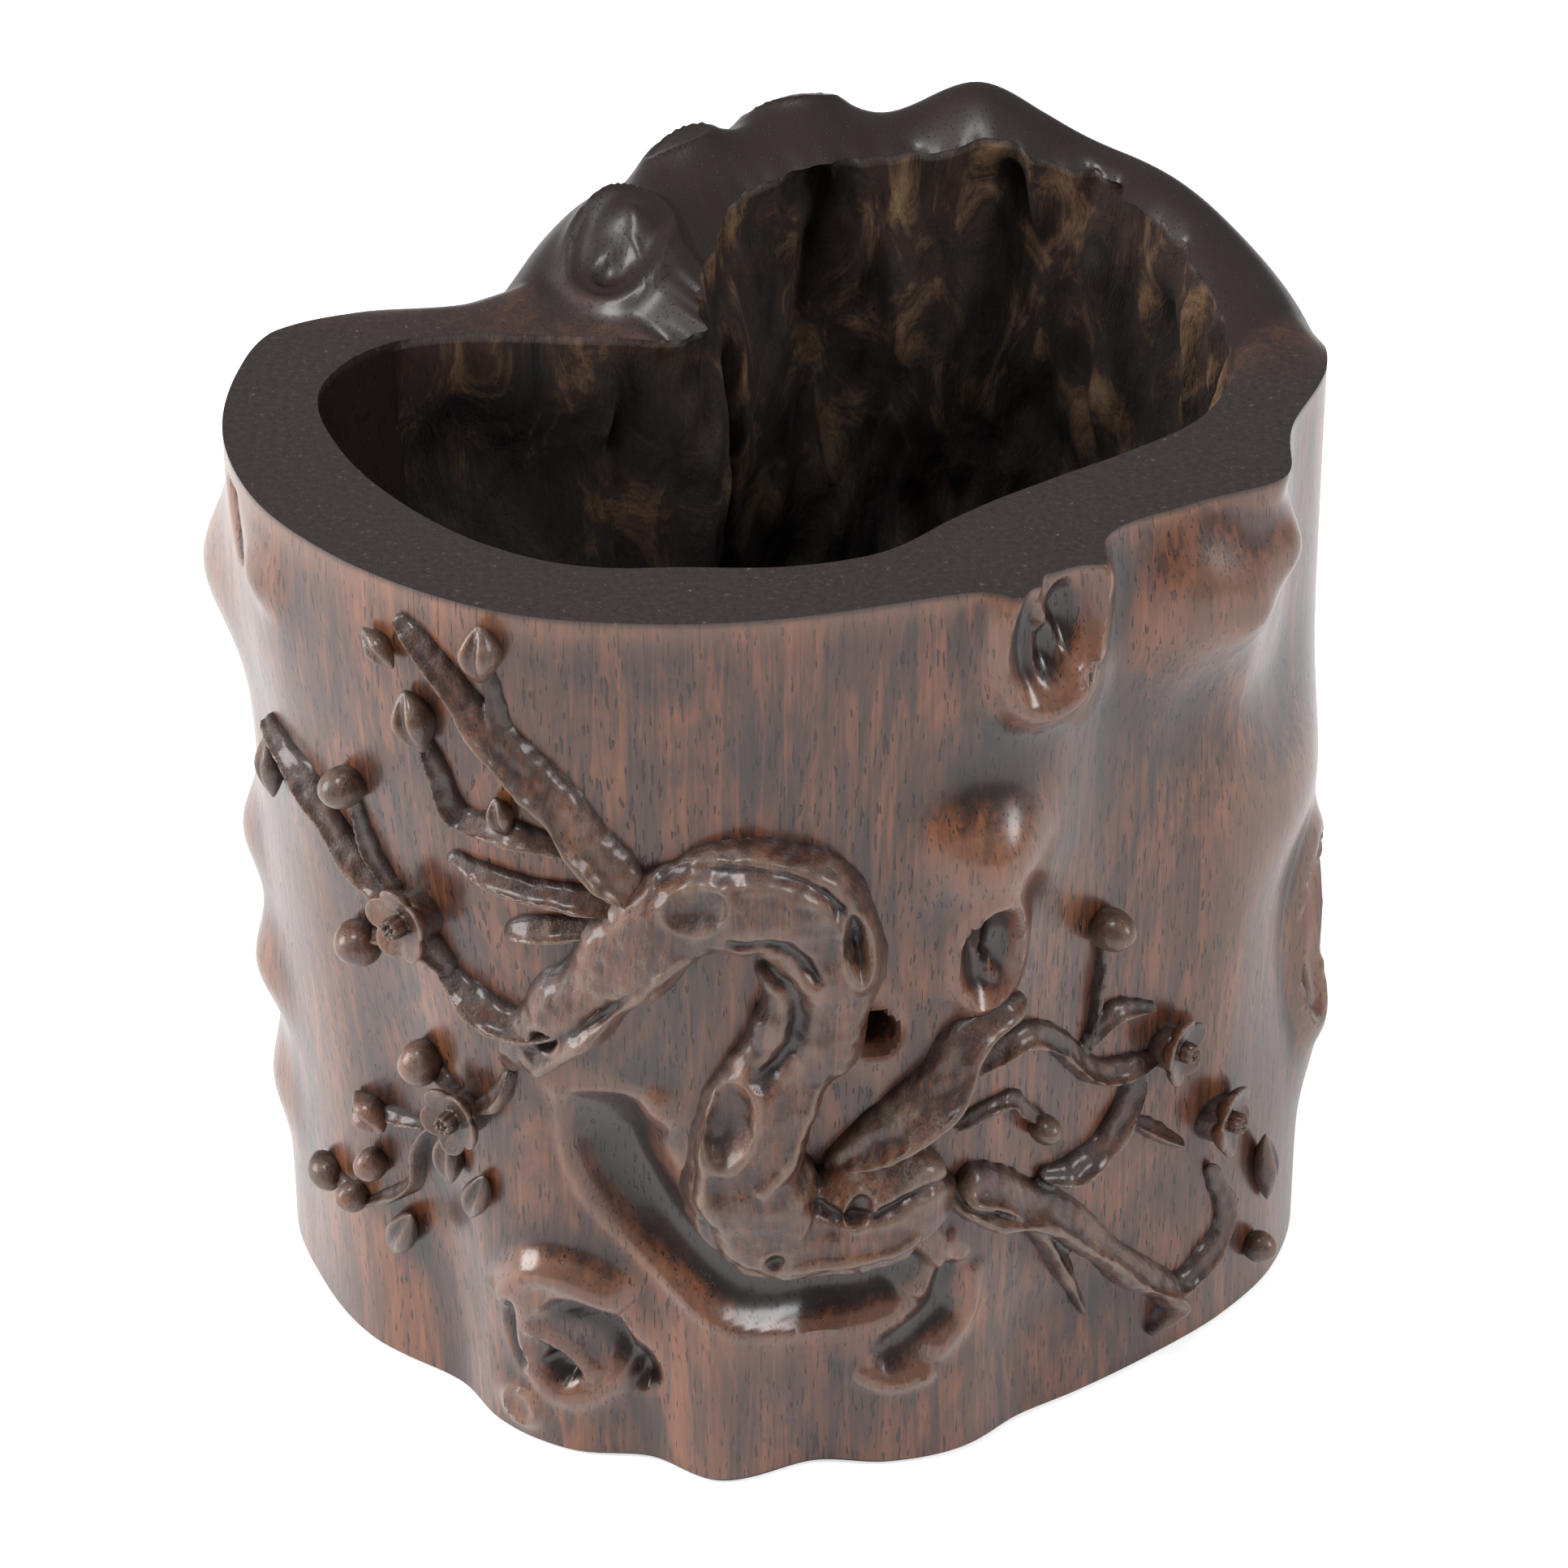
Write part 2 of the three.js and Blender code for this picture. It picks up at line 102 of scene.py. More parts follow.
HOLLOW = [
    (-180, 0.65), (-165, 0.6), (-150, 0.46), (-138, 0.36), (-124, 0.32), (-112, 0.5),
    (-104, 0.76), (-97, 0.87), (-88, 0.92), (-76, 0.9), (-62, 0.86), (-48, 0.82),
    (-36, 0.77), (-22, 0.68), (-6, 0.63), (8, 0.585), (22, 0.515), (36, 0.49),
    (52, 0.51), (66, 0.57), (80, 0.66), (94, 0.72), (110, 0.76), (128, 0.8),
    (145, 0.83), (160, 0.75),
]


def half_turn(degrees):
    """The same direction, from -180 up to 180."""
    return (degrees + 540) % 360 - 180


def catmull_rom(before, start, end, after, t):
    """The value at share t of the smooth curve from start to end."""
    line = 2 * start + (end - before) * t
    curve = (2 * before - 5 * start + 4 * end - after) * t * t
    return 0.5 * (line + curve + (3 * start - before - 3 * end + after) * t**3)


def around_at(rows, column, degrees):
    """A smooth closed run through the values that the rows give at their angles."""
    angle = half_turn(np.asarray(degrees, float))
    stops = np.array([row[0] for row in rows], float)
    values = np.array([row[column] for row in rows], float)
    count = len(rows)
    following = np.searchsorted(stops, angle, side="right")
    start = (following - 1) % count
    end = following % count
    span = (stops[end] - stops[start] + 360) % 360
    t = ((angle - stops[start] + 360) % 360) / span
    before, after = values[(start - 1) % count], values[(end + 1) % count]
    return catmull_rom(before, values[start], values[end], after, t)


def rim_height(degrees):
    return BODY_HEIGHT + CROWN_RISE * np.maximum(0, around_at(CROWN, 1, degrees))


print("rim heights at the front, left and back", rim_height([0, -90, 180]).round(1), "mm")


# %% [markdown]
# Knots, hollows and carved grooves are all one idea: a place on the wall and a profile round it. A knot is a
# soft hill, an eye is an oval ring with a sunken middle, and a groove or ridge follows a line of points.
# Formulas were chosen over a sculpted or displaced surface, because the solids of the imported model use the
# same places, and one number moves one knot. Widths, heights and rises are in mm.

# %% Hills, eyes and lines on the wall
MEAN_RADIUS_SHARE = 0.9
ARC_MM = math.radians(1) * BODY_RADIUS * MEAN_RADIUS_SHARE  # one degree along the wall
LIP_WIDTH = 0.28  # of the ring round an eye, as a share of the eye
CROWN_LIP_WIDTH = 0.22
CUP_POWER = 0.6
STEPS_PER_POINT = 3
END_FADE = 8  # a line has its full rise from one eighth of its length


def hill(degrees, height, angle, level, wide, tall, rise):
    across = half_turn(degrees - angle) * ARC_MM / wide
    up = (height - level) / tall
    return rise * np.exp(-(across**2 + up**2))


def oval_reach(across, up, wide, tall, tilt):
    """Distance from the middle of a tilted oval, 1 on its edge."""
    turn = math.radians(tilt)
    x = (across * math.cos(turn) + up * math.sin(turn)) / wide
    y = (up * math.cos(turn) - across * math.sin(turn)) / tall
    return np.hypot(x, y)


def lip_and_cup(reach, ring, sink, lip_width):
    lip = ring * np.exp(-(((reach - 1) / lip_width) ** 2))
    return lip, sink * np.clip(1 - reach, 0, 1) ** CUP_POWER


def eye(degrees, height, angle, level, wide, tall, ring, sink, tilt):
    reach = oval_reach(half_turn(degrees - angle) * ARC_MM, height - level, wide, tall, tilt)
    lip, cup = lip_and_cup(reach, ring, sink, LIP_WIDTH)
    return lip - cup


def smooth_run(rows, steps):
    """A smooth run of many rows through a few."""
    rows = np.array(rows, float)
    rows = np.vstack([2 * rows[0] - rows[1], rows, 2 * rows[-1] - rows[-2]])
    out = []
    for k in np.linspace(0, len(rows) - 3 - 1e-9, steps):
        first = int(k)
        out.append(catmull_rom(*rows[first : first + 4], k - first))
    return np.array(out)


def line_distance(degrees, height, route):
    """Distance in mm along the wall to a line of (angle, height) points, and the share walked."""
    x = degrees * ARC_MM
    best = np.full(np.shape(x), 1e9)
    share = np.zeros(np.shape(x))
    count = len(route) - 1
    for k in range(count):
        ax, ay = route[k][0] * ARC_MM, route[k][1]
        bx, by = route[k + 1][0] * ARC_MM, route[k + 1][1]
        length = (bx - ax) ** 2 + (by - ay) ** 2
        t = np.clip(((x - ax) * (bx - ax) + (height - ay) * (by - ay)) / length, 0, 1)
        gap = np.hypot(x - ax - t * (bx - ax), height - ay - t * (by - ay))
        nearer = gap < best
        best = np.where(nearer, gap, best)
        share = np.where(nearer, (k + t) / count, share)
    return best, share


def stroke(degrees, height, route, wide, rise, sharp=2.0):
    """A ridge (rise above 0) or groove (below 0) along a line, fading at both ends."""
    gap, share = line_distance(degrees, height, smooth_run(route, STEPS_PER_POINT * len(route)))
    ends = np.clip(np.minimum(share, 1 - share) * END_FADE, 0, 1) ** 0.5
    return rise * ends * np.exp(-((gap / wide) ** sharp))


# angle, level, width, height and rise
HILLS = [
    (31, 160, 14, 19, 4.6), (38, 147, 8, 6, 1.8), (56, 152, 12, 13, 8), (61, 148, 5, 6, 2),
    (68, 156, 6, 6, 3.5), (66, 170, 7, 5, 2.2), (66, 124, 16, 14, -3.2), (78, 100, 15, 14, 4),
    (90, 42, 12, 12, 3.2), (25, 122, 11.5, 9.5, 7.6), (25, 104, 10, 14, 3.6), (-28, 33, 13, 15, 3.4),
    (-34, 8, 5, 4, 2), (-87, 138, 12, 13, 6.5), (-87, 85, 9, 9, 4), (-81, 63, 8, 9, 4),
    (-86, 34, 9, 9, 2.5), (-62, 157, 5, 6, 2.6), (-15, 77, 4, 4, 2.5), (120, 120, 16, 18, 5),
    (165, 95, 18, 20, 5), (-150, 125, 14, 16, 5), (-130, 60, 15, 18, 4.5), (150, 45, 14, 14, 4),
    (-172, 150, 12, 10, 3), (40, 20, 16, 10, -1.5), (-70, 120, 14, 20, -1.5), (0, 150, 18, 12, -0.6),
]
# angle, level, width, height, ring, sink and tilt
EYES = [
    (33, 160, 4.4, 9, 1.2, 1.6, -12), (32, 162, 9.5, 14.5, 3.4, 4.4, -12), (25, 103, 6, 10.5, 1.6, 5, 0),
    (85, 66, 6.5, 19, 2.8, 5.5, 0), (-26, 25, 9, 12, 1.2, 3.2, -20), (-34, 8, 3.2, 3.2, 0.8, 1, 0),
    (11, 90, 4.4, 4.2, 0.8, 9, 0), (122, 118, 7, 10, 1.6, 3, 10), (-148, 122, 8, 7, 1.4, 2.5, 0),
    (163, 92, 9, 8, 1.6, 3, 20),
]
# route of (angle, level) points, width, rise and, for one, sharpness
STROKES = [
    ([(30, 172), (29.8, 165), (32.5, 160), (34, 152)], 1.4, 2.2),
    ([(36.5, 153), (37.5, 149)], 2, -2),
    ([(39.5, 170), (41.5, 160), (39.5, 150)], 2.2, 1.8),
    ([(22.5, 112), (24.5, 104), (26.5, 96)], 0.9, 1.6),
    ([(25, 108), (25.3, 100)], 0.7, -2),
    ([(84, 84), (88, 66), (85, 50)], 1.6, 3),
    ([(-36, 30), (-31, 40), (-25, 41), (-19, 35)], 3.2, 3),
    ([(-29, 34), (-24, 31), (-20, 24), (-17.5, 16)], 2.6, -3.6),
    ([(-33.5, 34), (-34.5, 24), (-33, 17)], 1.1, -2.2),
    ([(-30, 21), (-27, 16)], 2.4, -2.6),
    ([(-31.5, 28), (-28, 24), (-24, 17)], 1.6, 2.2),
    ([(-71.5, 166), (-70.5, 160), (-68, 154)], 2.2, -3.4),
    ([(-21.5, 78), (-21, 66), (-17, 56), (-11, 47), (-4, 39.5), (4, 36), (12, 38), (17, 45)], 6.8, -5.8, 2.3),
    ([(-26.5, 80), (-26, 64), (-22, 52), (-15, 41), (-6, 32), (4, 28.5), (14, 31)], 1.5, 1.5),
    ([(21, 48), (23, 40), (22, 32)], 1.8, 1.5),
    ([(18, 52), (19.5, 43), (17, 34)], 2, 2.6),
    ([(22, 42), (20, 31), (12, 22)], 3.6, -2.8),
    ([(25, 40), (24, 30), (19, 22)], 2.4, 1.6),
    ([(9, 20), (14, 17.5), (20, 19)], 1.6, 1.4),
]
CROWN_SETTLE = 2.2
# place in plan from the axis, width, depth and rise
CROWN_KNOTS = [
    (-31, 35, 14, 13, 4.5), (-18, 57, 9, 9, 4.5), (-9, 65, 5, 6, -2.5), (1, 70, 11, 8, 4.5),
    (15, 73, 7, 9, -2.5), (32, 68, 13, 10, 3.5), (48, 60, 7, 8, -1.2), (62, 47, 12, 12, 1.8),
    (-47, 23, 9, 6, 1.5), (-38, 22, 4, 6, -1.5), (-25, 31, 3.6, 4.4, 3.4),
]
# place in plan from the axis, width, depth, ring, sink and tilt
CROWN_EYES = [
    (-27, 28, 8.5, 11, 1.6, 2.6, -20), (-18, 56, 6, 4, 0.6, 1.6, 20), (1, 69, 8, 4.5, 0.6, 1.8, 0),
    (-28, 24, 4, 3, 0.7, 1.6, 30),
]


def crown_relief(x, y):
    """Rise of the natural crown at a place in plan, mm."""
    rise = np.full(np.shape(x), -CROWN_SETTLE)
    for at_x, at_y, wide, deep, high in CROWN_KNOTS:
        rise = rise + high * np.exp(-(((x - at_x) / wide) ** 2 + ((y - at_y) / deep) ** 2))
    for at_x, at_y, wide, deep, ring, sink, tilt in CROWN_EYES:
        reach = oval_reach(x - at_x, y - at_y, wide, deep, tilt)
        lip, cup = lip_and_cup(reach, ring, sink, CROWN_LIP_WIDTH)
        rise = rise + lip - cup
    return rise


def wall_radius(degrees, height):
    """How far the polished wall stands from the axis, mm."""
    rim = around_at(OUTLINE, 1, degrees)
    foot = around_at(OUTLINE, 2, degrees)
    t = np.clip(height / BODY_HEIGHT, 0, 1)
    t = t * t * (3 - 2 * t)
    radius = BODY_RADIUS * (foot + (rim - foot) * t)
    for shape, rows in ((hill, HILLS), (eye, EYES), (stroke, STROKES)):
        for row in rows:
            radius = radius + shape(degrees, height, *row)
    return radius


def on_wall(degrees, height, out):
    """A place in the frame, in metres, so many mm out of the polished wall."""
    radius = float(wall_radius(np.array(float(degrees)), np.array(float(height)))) + out
    turn = math.radians(degrees)
    x = radius * math.sin(turn) + AXIS[0]
    y = AXIS[1] - radius * math.cos(turn)
    return Vector((x * MM, y * MM, height * MM))


print("wall radius at the front, half way up", round(float(wall_radius(0.0, BODY_HEIGHT / 2)), 1), "mm")


# %% [markdown]
# At the left the inside is scooped smooth; elsewhere it is decayed root wood. A Displace modifier with a
# texture could roughen it too, but couldn't know where the scooped side begins. So layers of smooth random
# waves, drawn from one seed, stand for the decay, and listed lines add its larger ribs and grooves.

# %% Rough inside of the hollow
WAVES = np.random.default_rng(7)


def waves(x, y, z, size, count=14):
    """Smooth random relief, mostly between -1 and 1, with features of the given size in mm."""
    total = np.zeros(np.shape(x))
    for _ in range(count):
        way = WAVES.normal(size=3)
        way /= np.linalg.norm(way)
        phase = WAVES.uniform(0, 2 * math.pi)
        total = total + np.sin((way[0] * x + way[1] * y + way[2] * z) * 2 * math.pi / size + phase)
    return total / math.sqrt(count / 2) * 0.5


HOLLOW_STROKES = [
    ([(-177, 182), (-176, 150), (-173, 90)], 5.5, 7), ([(155, 178), (154, 155), (152, 120)], 2.6, 4.5),
    ([(-158, 170), (-160, 120), (-164, 60)], 6, -4), ([(170, 170), (168, 130), (166, 80)], 5, -3.5),
    ([(140, 182), (134, 166), (126, 152)], 5.5, 2.5), ([(120, 172), (118, 150), (117, 125)], 2, -3),
    ([(112, 172), (111, 150), (109, 120)], 1.8, -2.6), ([(105, 168), (103, 145), (102, 120)], 2, -2.2),
    ([(-118, 170), (-119, 120), (-121, 40)], 3, 3),
]
BUTTON = (131, 165, 4.0, 5.5, -3.2)


def hollow_radius(degrees, height):
    mouth = BODY_RADIUS * around_at(HOLLOW, 1, degrees)
    depth = 1 - np.clip(height / BODY_HEIGHT, 0, 1)
    return mouth * (1 - HOLLOW_TAPER * depth)


def hollow_relief(degrees, height):
    relief = hill(degrees, height, *BUTTON)
    for route, wide, rise in HOLLOW_STROKES:
        first = route[0][0]
        unrolled = np.where(degrees - first > 180, degrees - 360, degrees)
        unrolled = np.where(unrolled - first < -180, unrolled + 360, unrolled)
        relief = relief + stroke(unrolled, height, route, wide, rise)
    return relief


# %% [markdown]
# The block could be two cylinders and a boolean cut, but then the rim would be a hard seam. Here it is one
# sheet rolled up: up the outside, over the rim, down the hollow and back under the foot. Its columns go round
# and stand closer at the front, where the carving is; its rows follow the section.

# %% Columns and rows of the sheet
COLUMNS = 520
WALL_ROWS = 148
RIM_ROWS = 36
HOLLOW_ROWS = 96
FOOT_ROWS = 4
ROWS = WALL_ROWS + RIM_ROWS + HOLLOW_ROWS + FOOT_ROWS
FRONT_CROWDING = 0.14
CROWN_EDGE = 0.25  # from this share of its rise the crown is fully rounded
OUTER_DROP = 7.5  # the crown's edge lies this far below its top on the outside, mm
INNER_DROP = 3.0  # and this far on the inside, mm
EDGE_ROUNDING = 2.2

turns, walk = (sheet.ravel() for sheet in np.meshgrid(np.linspace(-1, 1, COLUMNS + 1), np.arange(ROWS + 1)))
angle = 180 * (turns - FRONT_CROWDING * np.sin(math.pi * turns))
angle = np.where(turns >= 1 - 1e-6, -180.0, angle)
sine, cosine = np.sin(np.radians(angle)), np.cos(np.radians(angle))
foot_step = walk - (WALL_ROWS + RIM_ROWS + HOLLOW_ROWS)
on_outside = walk <= WALL_ROWS
on_rim = (walk > WALL_ROWS) & (walk <= WALL_ROWS + RIM_ROWS)
in_hollow = (walk > WALL_ROWS + RIM_ROWS) & (foot_step <= 0)

top = rim_height(angle)
crown = np.clip((top - BODY_HEIGHT) / (CROWN_EDGE * CROWN_RISE), 0, 1)
drop = crown * OUTER_DROP
inner_drop = crown * INNER_DROP

wall_share = np.clip(walk / WALL_ROWS, 0, 1)
wall_z = FOOT_BEVEL + wall_share * (top - drop - FOOT_BEVEL)
rim_share = np.clip((walk - WALL_ROWS) / RIM_ROWS, 0, 1)
rim_side = 2 * rim_share - 1
rim_z = top - np.where(rim_side < 0, drop, inner_drop) * np.abs(rim_side) ** EDGE_ROUNDING
hollow_share = np.clip((walk - WALL_ROWS - RIM_ROWS) / HOLLOW_ROWS, 0, 1)
hollow_z = (top - inner_drop) + (FLOOR_HEIGHT - top + inner_drop) * hollow_share
print("points of the sheet", len(walk), "highest", round(top.max(), 1), "mm")

# %% [markdown]
# Under the crown the hollow's edge is ragged. Further down, decay moves the surface in and out and sways its
# outline, but not where the hollow is scooped.

# %% Ragged edge and decay
RAGGED_FROM = 120  # degrees from the front
EDGE_MM = 1.2  # of the ragged edge for one degree
RAGGED_LAYERS = [(1.6, 13), (0.8, 5)]  # height and size, mm
RAGGED_GATHER = 6
SCOOP = (-103, -10)  # from where to where the hollow is scooped, degrees
SCOOP_FADE = (1.5, 30)
DECAY_LAYERS = [(3.2, 0.45, 24), (1.6, 0.4, 9), (0.8, 0.35, 4)]  # height, squeeze upwards and size
MOUTH_FADE = 9
FLOOR_FADE = 12
RAGGED_FADE = 8
SWAY = 4.5  # degrees
SWAY_SIZE = 38
SWAY_WAVES = 6


def hollow_xy(degrees, height, out=0.0, sway=0.0):
    radius = hollow_radius(degrees + sway, height) + out
    x = HOLLOW_CENTRE[0] + radius * np.sin(np.radians(degrees))
    return np.stack([x, HOLLOW_CENTRE[1] - radius * np.cos(np.radians(degrees))], 1)


zero = np.zeros(len(angle))
edge_walk = angle * EDGE_MM
ragged = sum(high * waves(edge_walk, zero, zero, size) for high, size in RAGGED_LAYERS)
ragged = crown * (np.abs(angle) > RAGGED_FROM) * ragged
inner_edge = hollow_xy(angle, top - drop, ragged * rim_share**RAGGED_GATHER)
scooped = np.clip((angle - SCOOP[0]) / SCOOP_FADE[0], 0, 1)
scooped = scooped * np.clip((SCOOP[1] - angle) / SCOOP_FADE[1], 0, 1)
rough = np.clip(1 - scooped, 0, 1)
x, y = hollow_xy(angle, hollow_z).T
decay = sum(high * waves(x, y, hollow_z * squeeze, size) for high, squeeze, size in DECAY_LAYERS)
fade = np.clip(hollow_share * MOUTH_FADE, 0, 1) * np.clip((1 - hollow_share) * FLOOR_FADE, 0, 1)
near_edge = np.clip(1 - hollow_share * RAGGED_FADE, 0, 1)
sway = rough * fade * SWAY * waves(zero, zero, hollow_z, SWAY_SIZE, SWAY_WAVES)
decay = rough * (fade * decay + hollow_relief(angle, hollow_z)) + near_edge * ragged
hollow_side = hollow_xy(angle, hollow_z, decay, sway)
print("decay from", round(decay.min(), 1), "to", round(decay.max(), 1), "mm")

# %% [markdown]
# Now every point gets its place. The foot takes four steps: out along the rebate's shoulder, down its wall,
# out to the resting ring and up the bevel. The crown's knots lift the points near the top, least where the
# crown runs out into the sawn rim, so that one surface carries both.

# %% Points of the sheet
CROWN_FADE_ROWS = 30
CROWN_FADE_INSIDE = 5


def round_axis(radius):
    """Places in plan at these distances from the axis."""
    return np.stack([radius * sine, -radius * cosine], 1)


points = np.zeros((len(walk), 3))
points[on_outside, :2] = round_axis(wall_radius(angle, wall_z))[on_outside]
points[on_outside, 2] = wall_z[on_outside]
mix = rim_share[:, None]
points[on_rim, :2] = (round_axis(wall_radius(angle, top - drop)) * (1 - mix) + inner_edge * mix)[on_rim]
points[on_rim, 2] = rim_z[on_rim]
points[in_hollow, :2] = hollow_side[in_hollow]
points[in_hollow, 2] = hollow_z[in_hollow]
shoulder = hollow_xy(angle, np.full(len(angle), FLOOR_HEIGHT), SHOULDER_WIDTH)
foot_ring = round_axis(wall_radius(angle, zero) - FOOT_BEVEL)
bevel = round_axis(wall_radius(angle, np.full(len(angle), FOOT_BEVEL)))
foot_places = [(shoulder, FLOOR_HEIGHT), (shoulder, 0.0), (foot_ring, 0.0), (bevel, FOOT_BEVEL)]
for step, (xy, level) in enumerate(foot_places, start=1):
    chosen = foot_step == step
    points[chosen, :2] = xy[chosen]
    points[chosen, 2] = level

near_top = np.clip(1 - (WALL_ROWS - walk) / CROWN_FADE_ROWS, 0, 1) * on_outside + on_rim
near_top = near_top + in_hollow * np.clip(1 - hollow_share * CROWN_FADE_INSIDE, 0, 1)
points[:, 2] += crown * near_top**2 * crown_relief(points[:, 0], points[:, 1])
points += AXIS
print("box of the points", points.min(0).round(1), points.max(0).round(1), "mm")

# %% [markdown]
# One grid takes the outside with its rim, the other the hollow with the foot: a single mesh this fine would
# have too many triangles. Each is welded where its columns meet at the back. Its points also get marks for
# the materials, because colours that follow the form fit better than painted ones: where it is sawn, crowned,
# decayed or scooped, how deep it lies, and where it dips or forms a ridge.

# %% Lay the sheet on two grids
def read_points(mesh):
    places = np.zeros(len(mesh.vertices) * 3)
    mesh.vertices.foreach_get("co", places)
    return places.reshape(-1, 3)


def read_normals(mesh):
    normals = np.zeros(len(mesh.vertices) * 3)
    mesh.vertex_normals.foreach_get("vector", normals)
    return normals.reshape(-1, 3)


def set_points(piece, places):
    piece.data.vertices.foreach_set("co", places.ravel())
    piece.data.update()


def mark(piece, name, values):
    layer = piece.data.attributes.new(name, "FLOAT", "POINT")
    layer.data.foreach_set("value", np.asarray(values, np.float32))


WELD = 0.00001
SHARP_ANGLE = 50
CROWN_COLOR_ROWS = 22  # the crown's dark colour starts this many rows below its edge
CROWN_COLOR_FADE = 20
MARKS = {
    "sawn": (on_rim | (walk == WALL_ROWS)) * (1 - crown),
    "crown": crown * np.clip((walk - WALL_ROWS + CROWN_COLOR_ROWS) / CROWN_COLOR_FADE, 0, 1),
    "inside": (walk > WALL_ROWS + RIM_ROWS) * rough,
    "scooped": in_hollow * (1 - rough),
    # how deep in the hollow a point lies; the block's material turns it into painted shade
    "deep": in_hollow * hollow_share,
}


def in_edit_mode(operator, **options):
    """Run one mesh operator on all of the active piece."""
    bpy.ops.object.mode_set(mode="EDIT")
    bpy.ops.mesh.select_all(action="SELECT")
    operator(**options)
    bpy.ops.object.mode_set(mode="OBJECT")


def skin(name, first, last):
    """The rows of the sheet from first to last as a mesh."""
    bpy.ops.mesh.primitive_grid_add(x_subdivisions=COLUMNS, y_subdivisions=last - first, size=2)
    piece = bpy.context.object
    piece.name = name
    flat = read_points(piece.data)
    column = np.rint((flat[:, 0] + 1) / 2 * COLUMNS).astype(int)
    row = np.rint((flat[:, 1] + 1) / 2 * (last - first)).astype(int) + first
    pick = row * (COLUMNS + 1) + column
    set_points(piece, points[pick] * MM)
    for label, values in MARKS.items():
        mark(piece, label, values[pick])
    in_edit_mode(bpy.ops.mesh.remove_doubles, threshold=WELD)
    bpy.ops.object.shade_smooth_by_angle(angle=math.radians(SHARP_ANGLE))
    print(name, "faces", len(piece.data.polygons))
    return piece


block = skin("polished_block", 0, WALL_ROWS + RIM_ROWS)
inner = skin("hollow_inside", WALL_ROWS + RIM_ROWS, ROWS)


def mark_dips(piece, rounds=30):
    """Mark how far each point lies under its softened surroundings, mm: hollows above 0, ridges below."""
    mesh = piece.data
    count = len(mesh.vertices)
    ends = np.zeros(len(mesh.edges) * 2, int)
    mesh.edges.foreach_get("vertices", ends)
    a, b = ends.reshape(-1, 2).T
    here, there = np.concatenate([a, b]), np.concatenate([b, a])
    degree = np.bincount(here, minlength=count)
    places = read_points(mesh)
    soft = places.copy()
    for _ in range(rounds):
        soft = np.stack([np.bincount(here, soft[there, k], count) for k in range(3)], 1) / degree[:, None]
    mark(piece, "dip", ((soft - places) * read_normals(mesh)).sum(1) / MM)


mark_dips(block)
mark_dips(inner, 12)

# %% [markdown]
# The plum branch is carved from the block and stands 5 to 12 mm proud of the ground. Curves with a bevel
# would give even tubes; here each branch has a route of (angle, level, thickness) points on the wall, so that
# it can swell, bend and thin. The branches of one group are joined and fused into one skin by a voxel remesh,
# and twigs grow out of one another as they do in the carving.

# %% Routes of the branches
STEM = [
    (-33, 81, 4.5), (-25, 95, 6.5), (-18, 108, 8), (-12, 118, 8.5), (-4, 121, 9.5), (2, 117, 9.5),
    (4.5, 107, 9.5), (3, 94, 9), (-1, 84, 8.5), (-4, 73, 9), (-4, 62, 9.5), (0, 54, 10),
    (7, 54, 10), (14, 58, 9), (22, 57, 6.5),
]
RIGHT_BRANCHES = [
    [(22, 58, 6), (28, 54, 4.5), (35, 43, 4), (40, 30, 3), (45, 16, 1.2)],
    [(20, 57, 6), (34, 47, 5.5), (42, 37, 5), (51, 23, 4.5), (58, 13, 4), (55, 6, 1.8)],
    [(5, 64, 4), (13, 72, 6), (19, 79, 6), (22, 87, 4.5), (27, 91, 3), (31, 91, 1.5)],
    [(22, 80, 3.5), (31, 83, 3), (37, 78, 3), (43, 69, 3), (48, 66, 3), (56, 65, 2)],
    [(43, 72, 2.2), (45, 87, 1.7), (45, 94, 1.7)],
    [(42, 74, 2.5), (47, 78, 2.5), (54, 75, 2)],
    [(35, 52, 3), (40, 50, 3.4), (46, 53, 3.2), (50, 60, 2.8), (51, 67, 2.4)],
    [(21, 69, 2.4), (29, 71, 2.2), (32, 67, 2), (35, 63, 2.4)],
    [(49, 56, 2.5), (59, 44, 2)],
    [(63, 37, 2.2), (66, 24, 2.2), (63, 17, 2.5), (58, 15, 3), (52, 20, 3)],
]
LEFT_BRANCHES = [
    [(-15, 119, 5), (-21, 130, 5), (-24, 138, 4.5), (-29, 146, 4), (-36, 158, 3), (-41, 165, 2.4)],
    [(-29, 146, 2.5), (-30, 153, 2.2), (-31, 160, 2.2)],
    [(-22, 128, 3), (-29, 130, 2.6), (-35, 131, 2.6), (-37, 138, 2.4), (-39, 144, 2.2)],
    [(-17, 118, 4), (-23, 119, 3.5), (-30, 120, 2.8), (-37, 122, 2)],
    [(-17, 114, 3.6), (-27, 112, 3), (-31, 110, 2)],
    [(-40, 99, 3.2), (-32, 92, 4), (-25, 94, 4), (-20, 102, 4.4), (-17, 112, 5)],
    [(-38, 98, 3.4), (-43, 105, 3.5), (-51, 113, 3.2), (-59, 124, 3), (-67, 126, 2.5)],
    [(-45, 109, 2.8), (-48, 115, 2.2), (-50, 125, 1.8)],
    [(-42, 105, 2.6), (-48, 98, 2.2), (-52, 95, 2.4)],
    [(-32, 81, 3.4), (-34, 74, 2.6), (-38, 69, 2.2)],
    [(-38, 69, 2.4), (-46, 60, 2.2), (-50, 52, 2.1), (-52, 42, 2.2), (-60, 32, 2)],
    [(-38, 69, 2.4), (-42, 72, 2.2), (-45, 74, 2.4)],
    [(-47, 58, 2.2), (-52, 56, 2.2), (-56, 55, 2.4)],
    [(-59, 32, 2), (-63, 33, 2), (-67, 33, 1.8)],
]


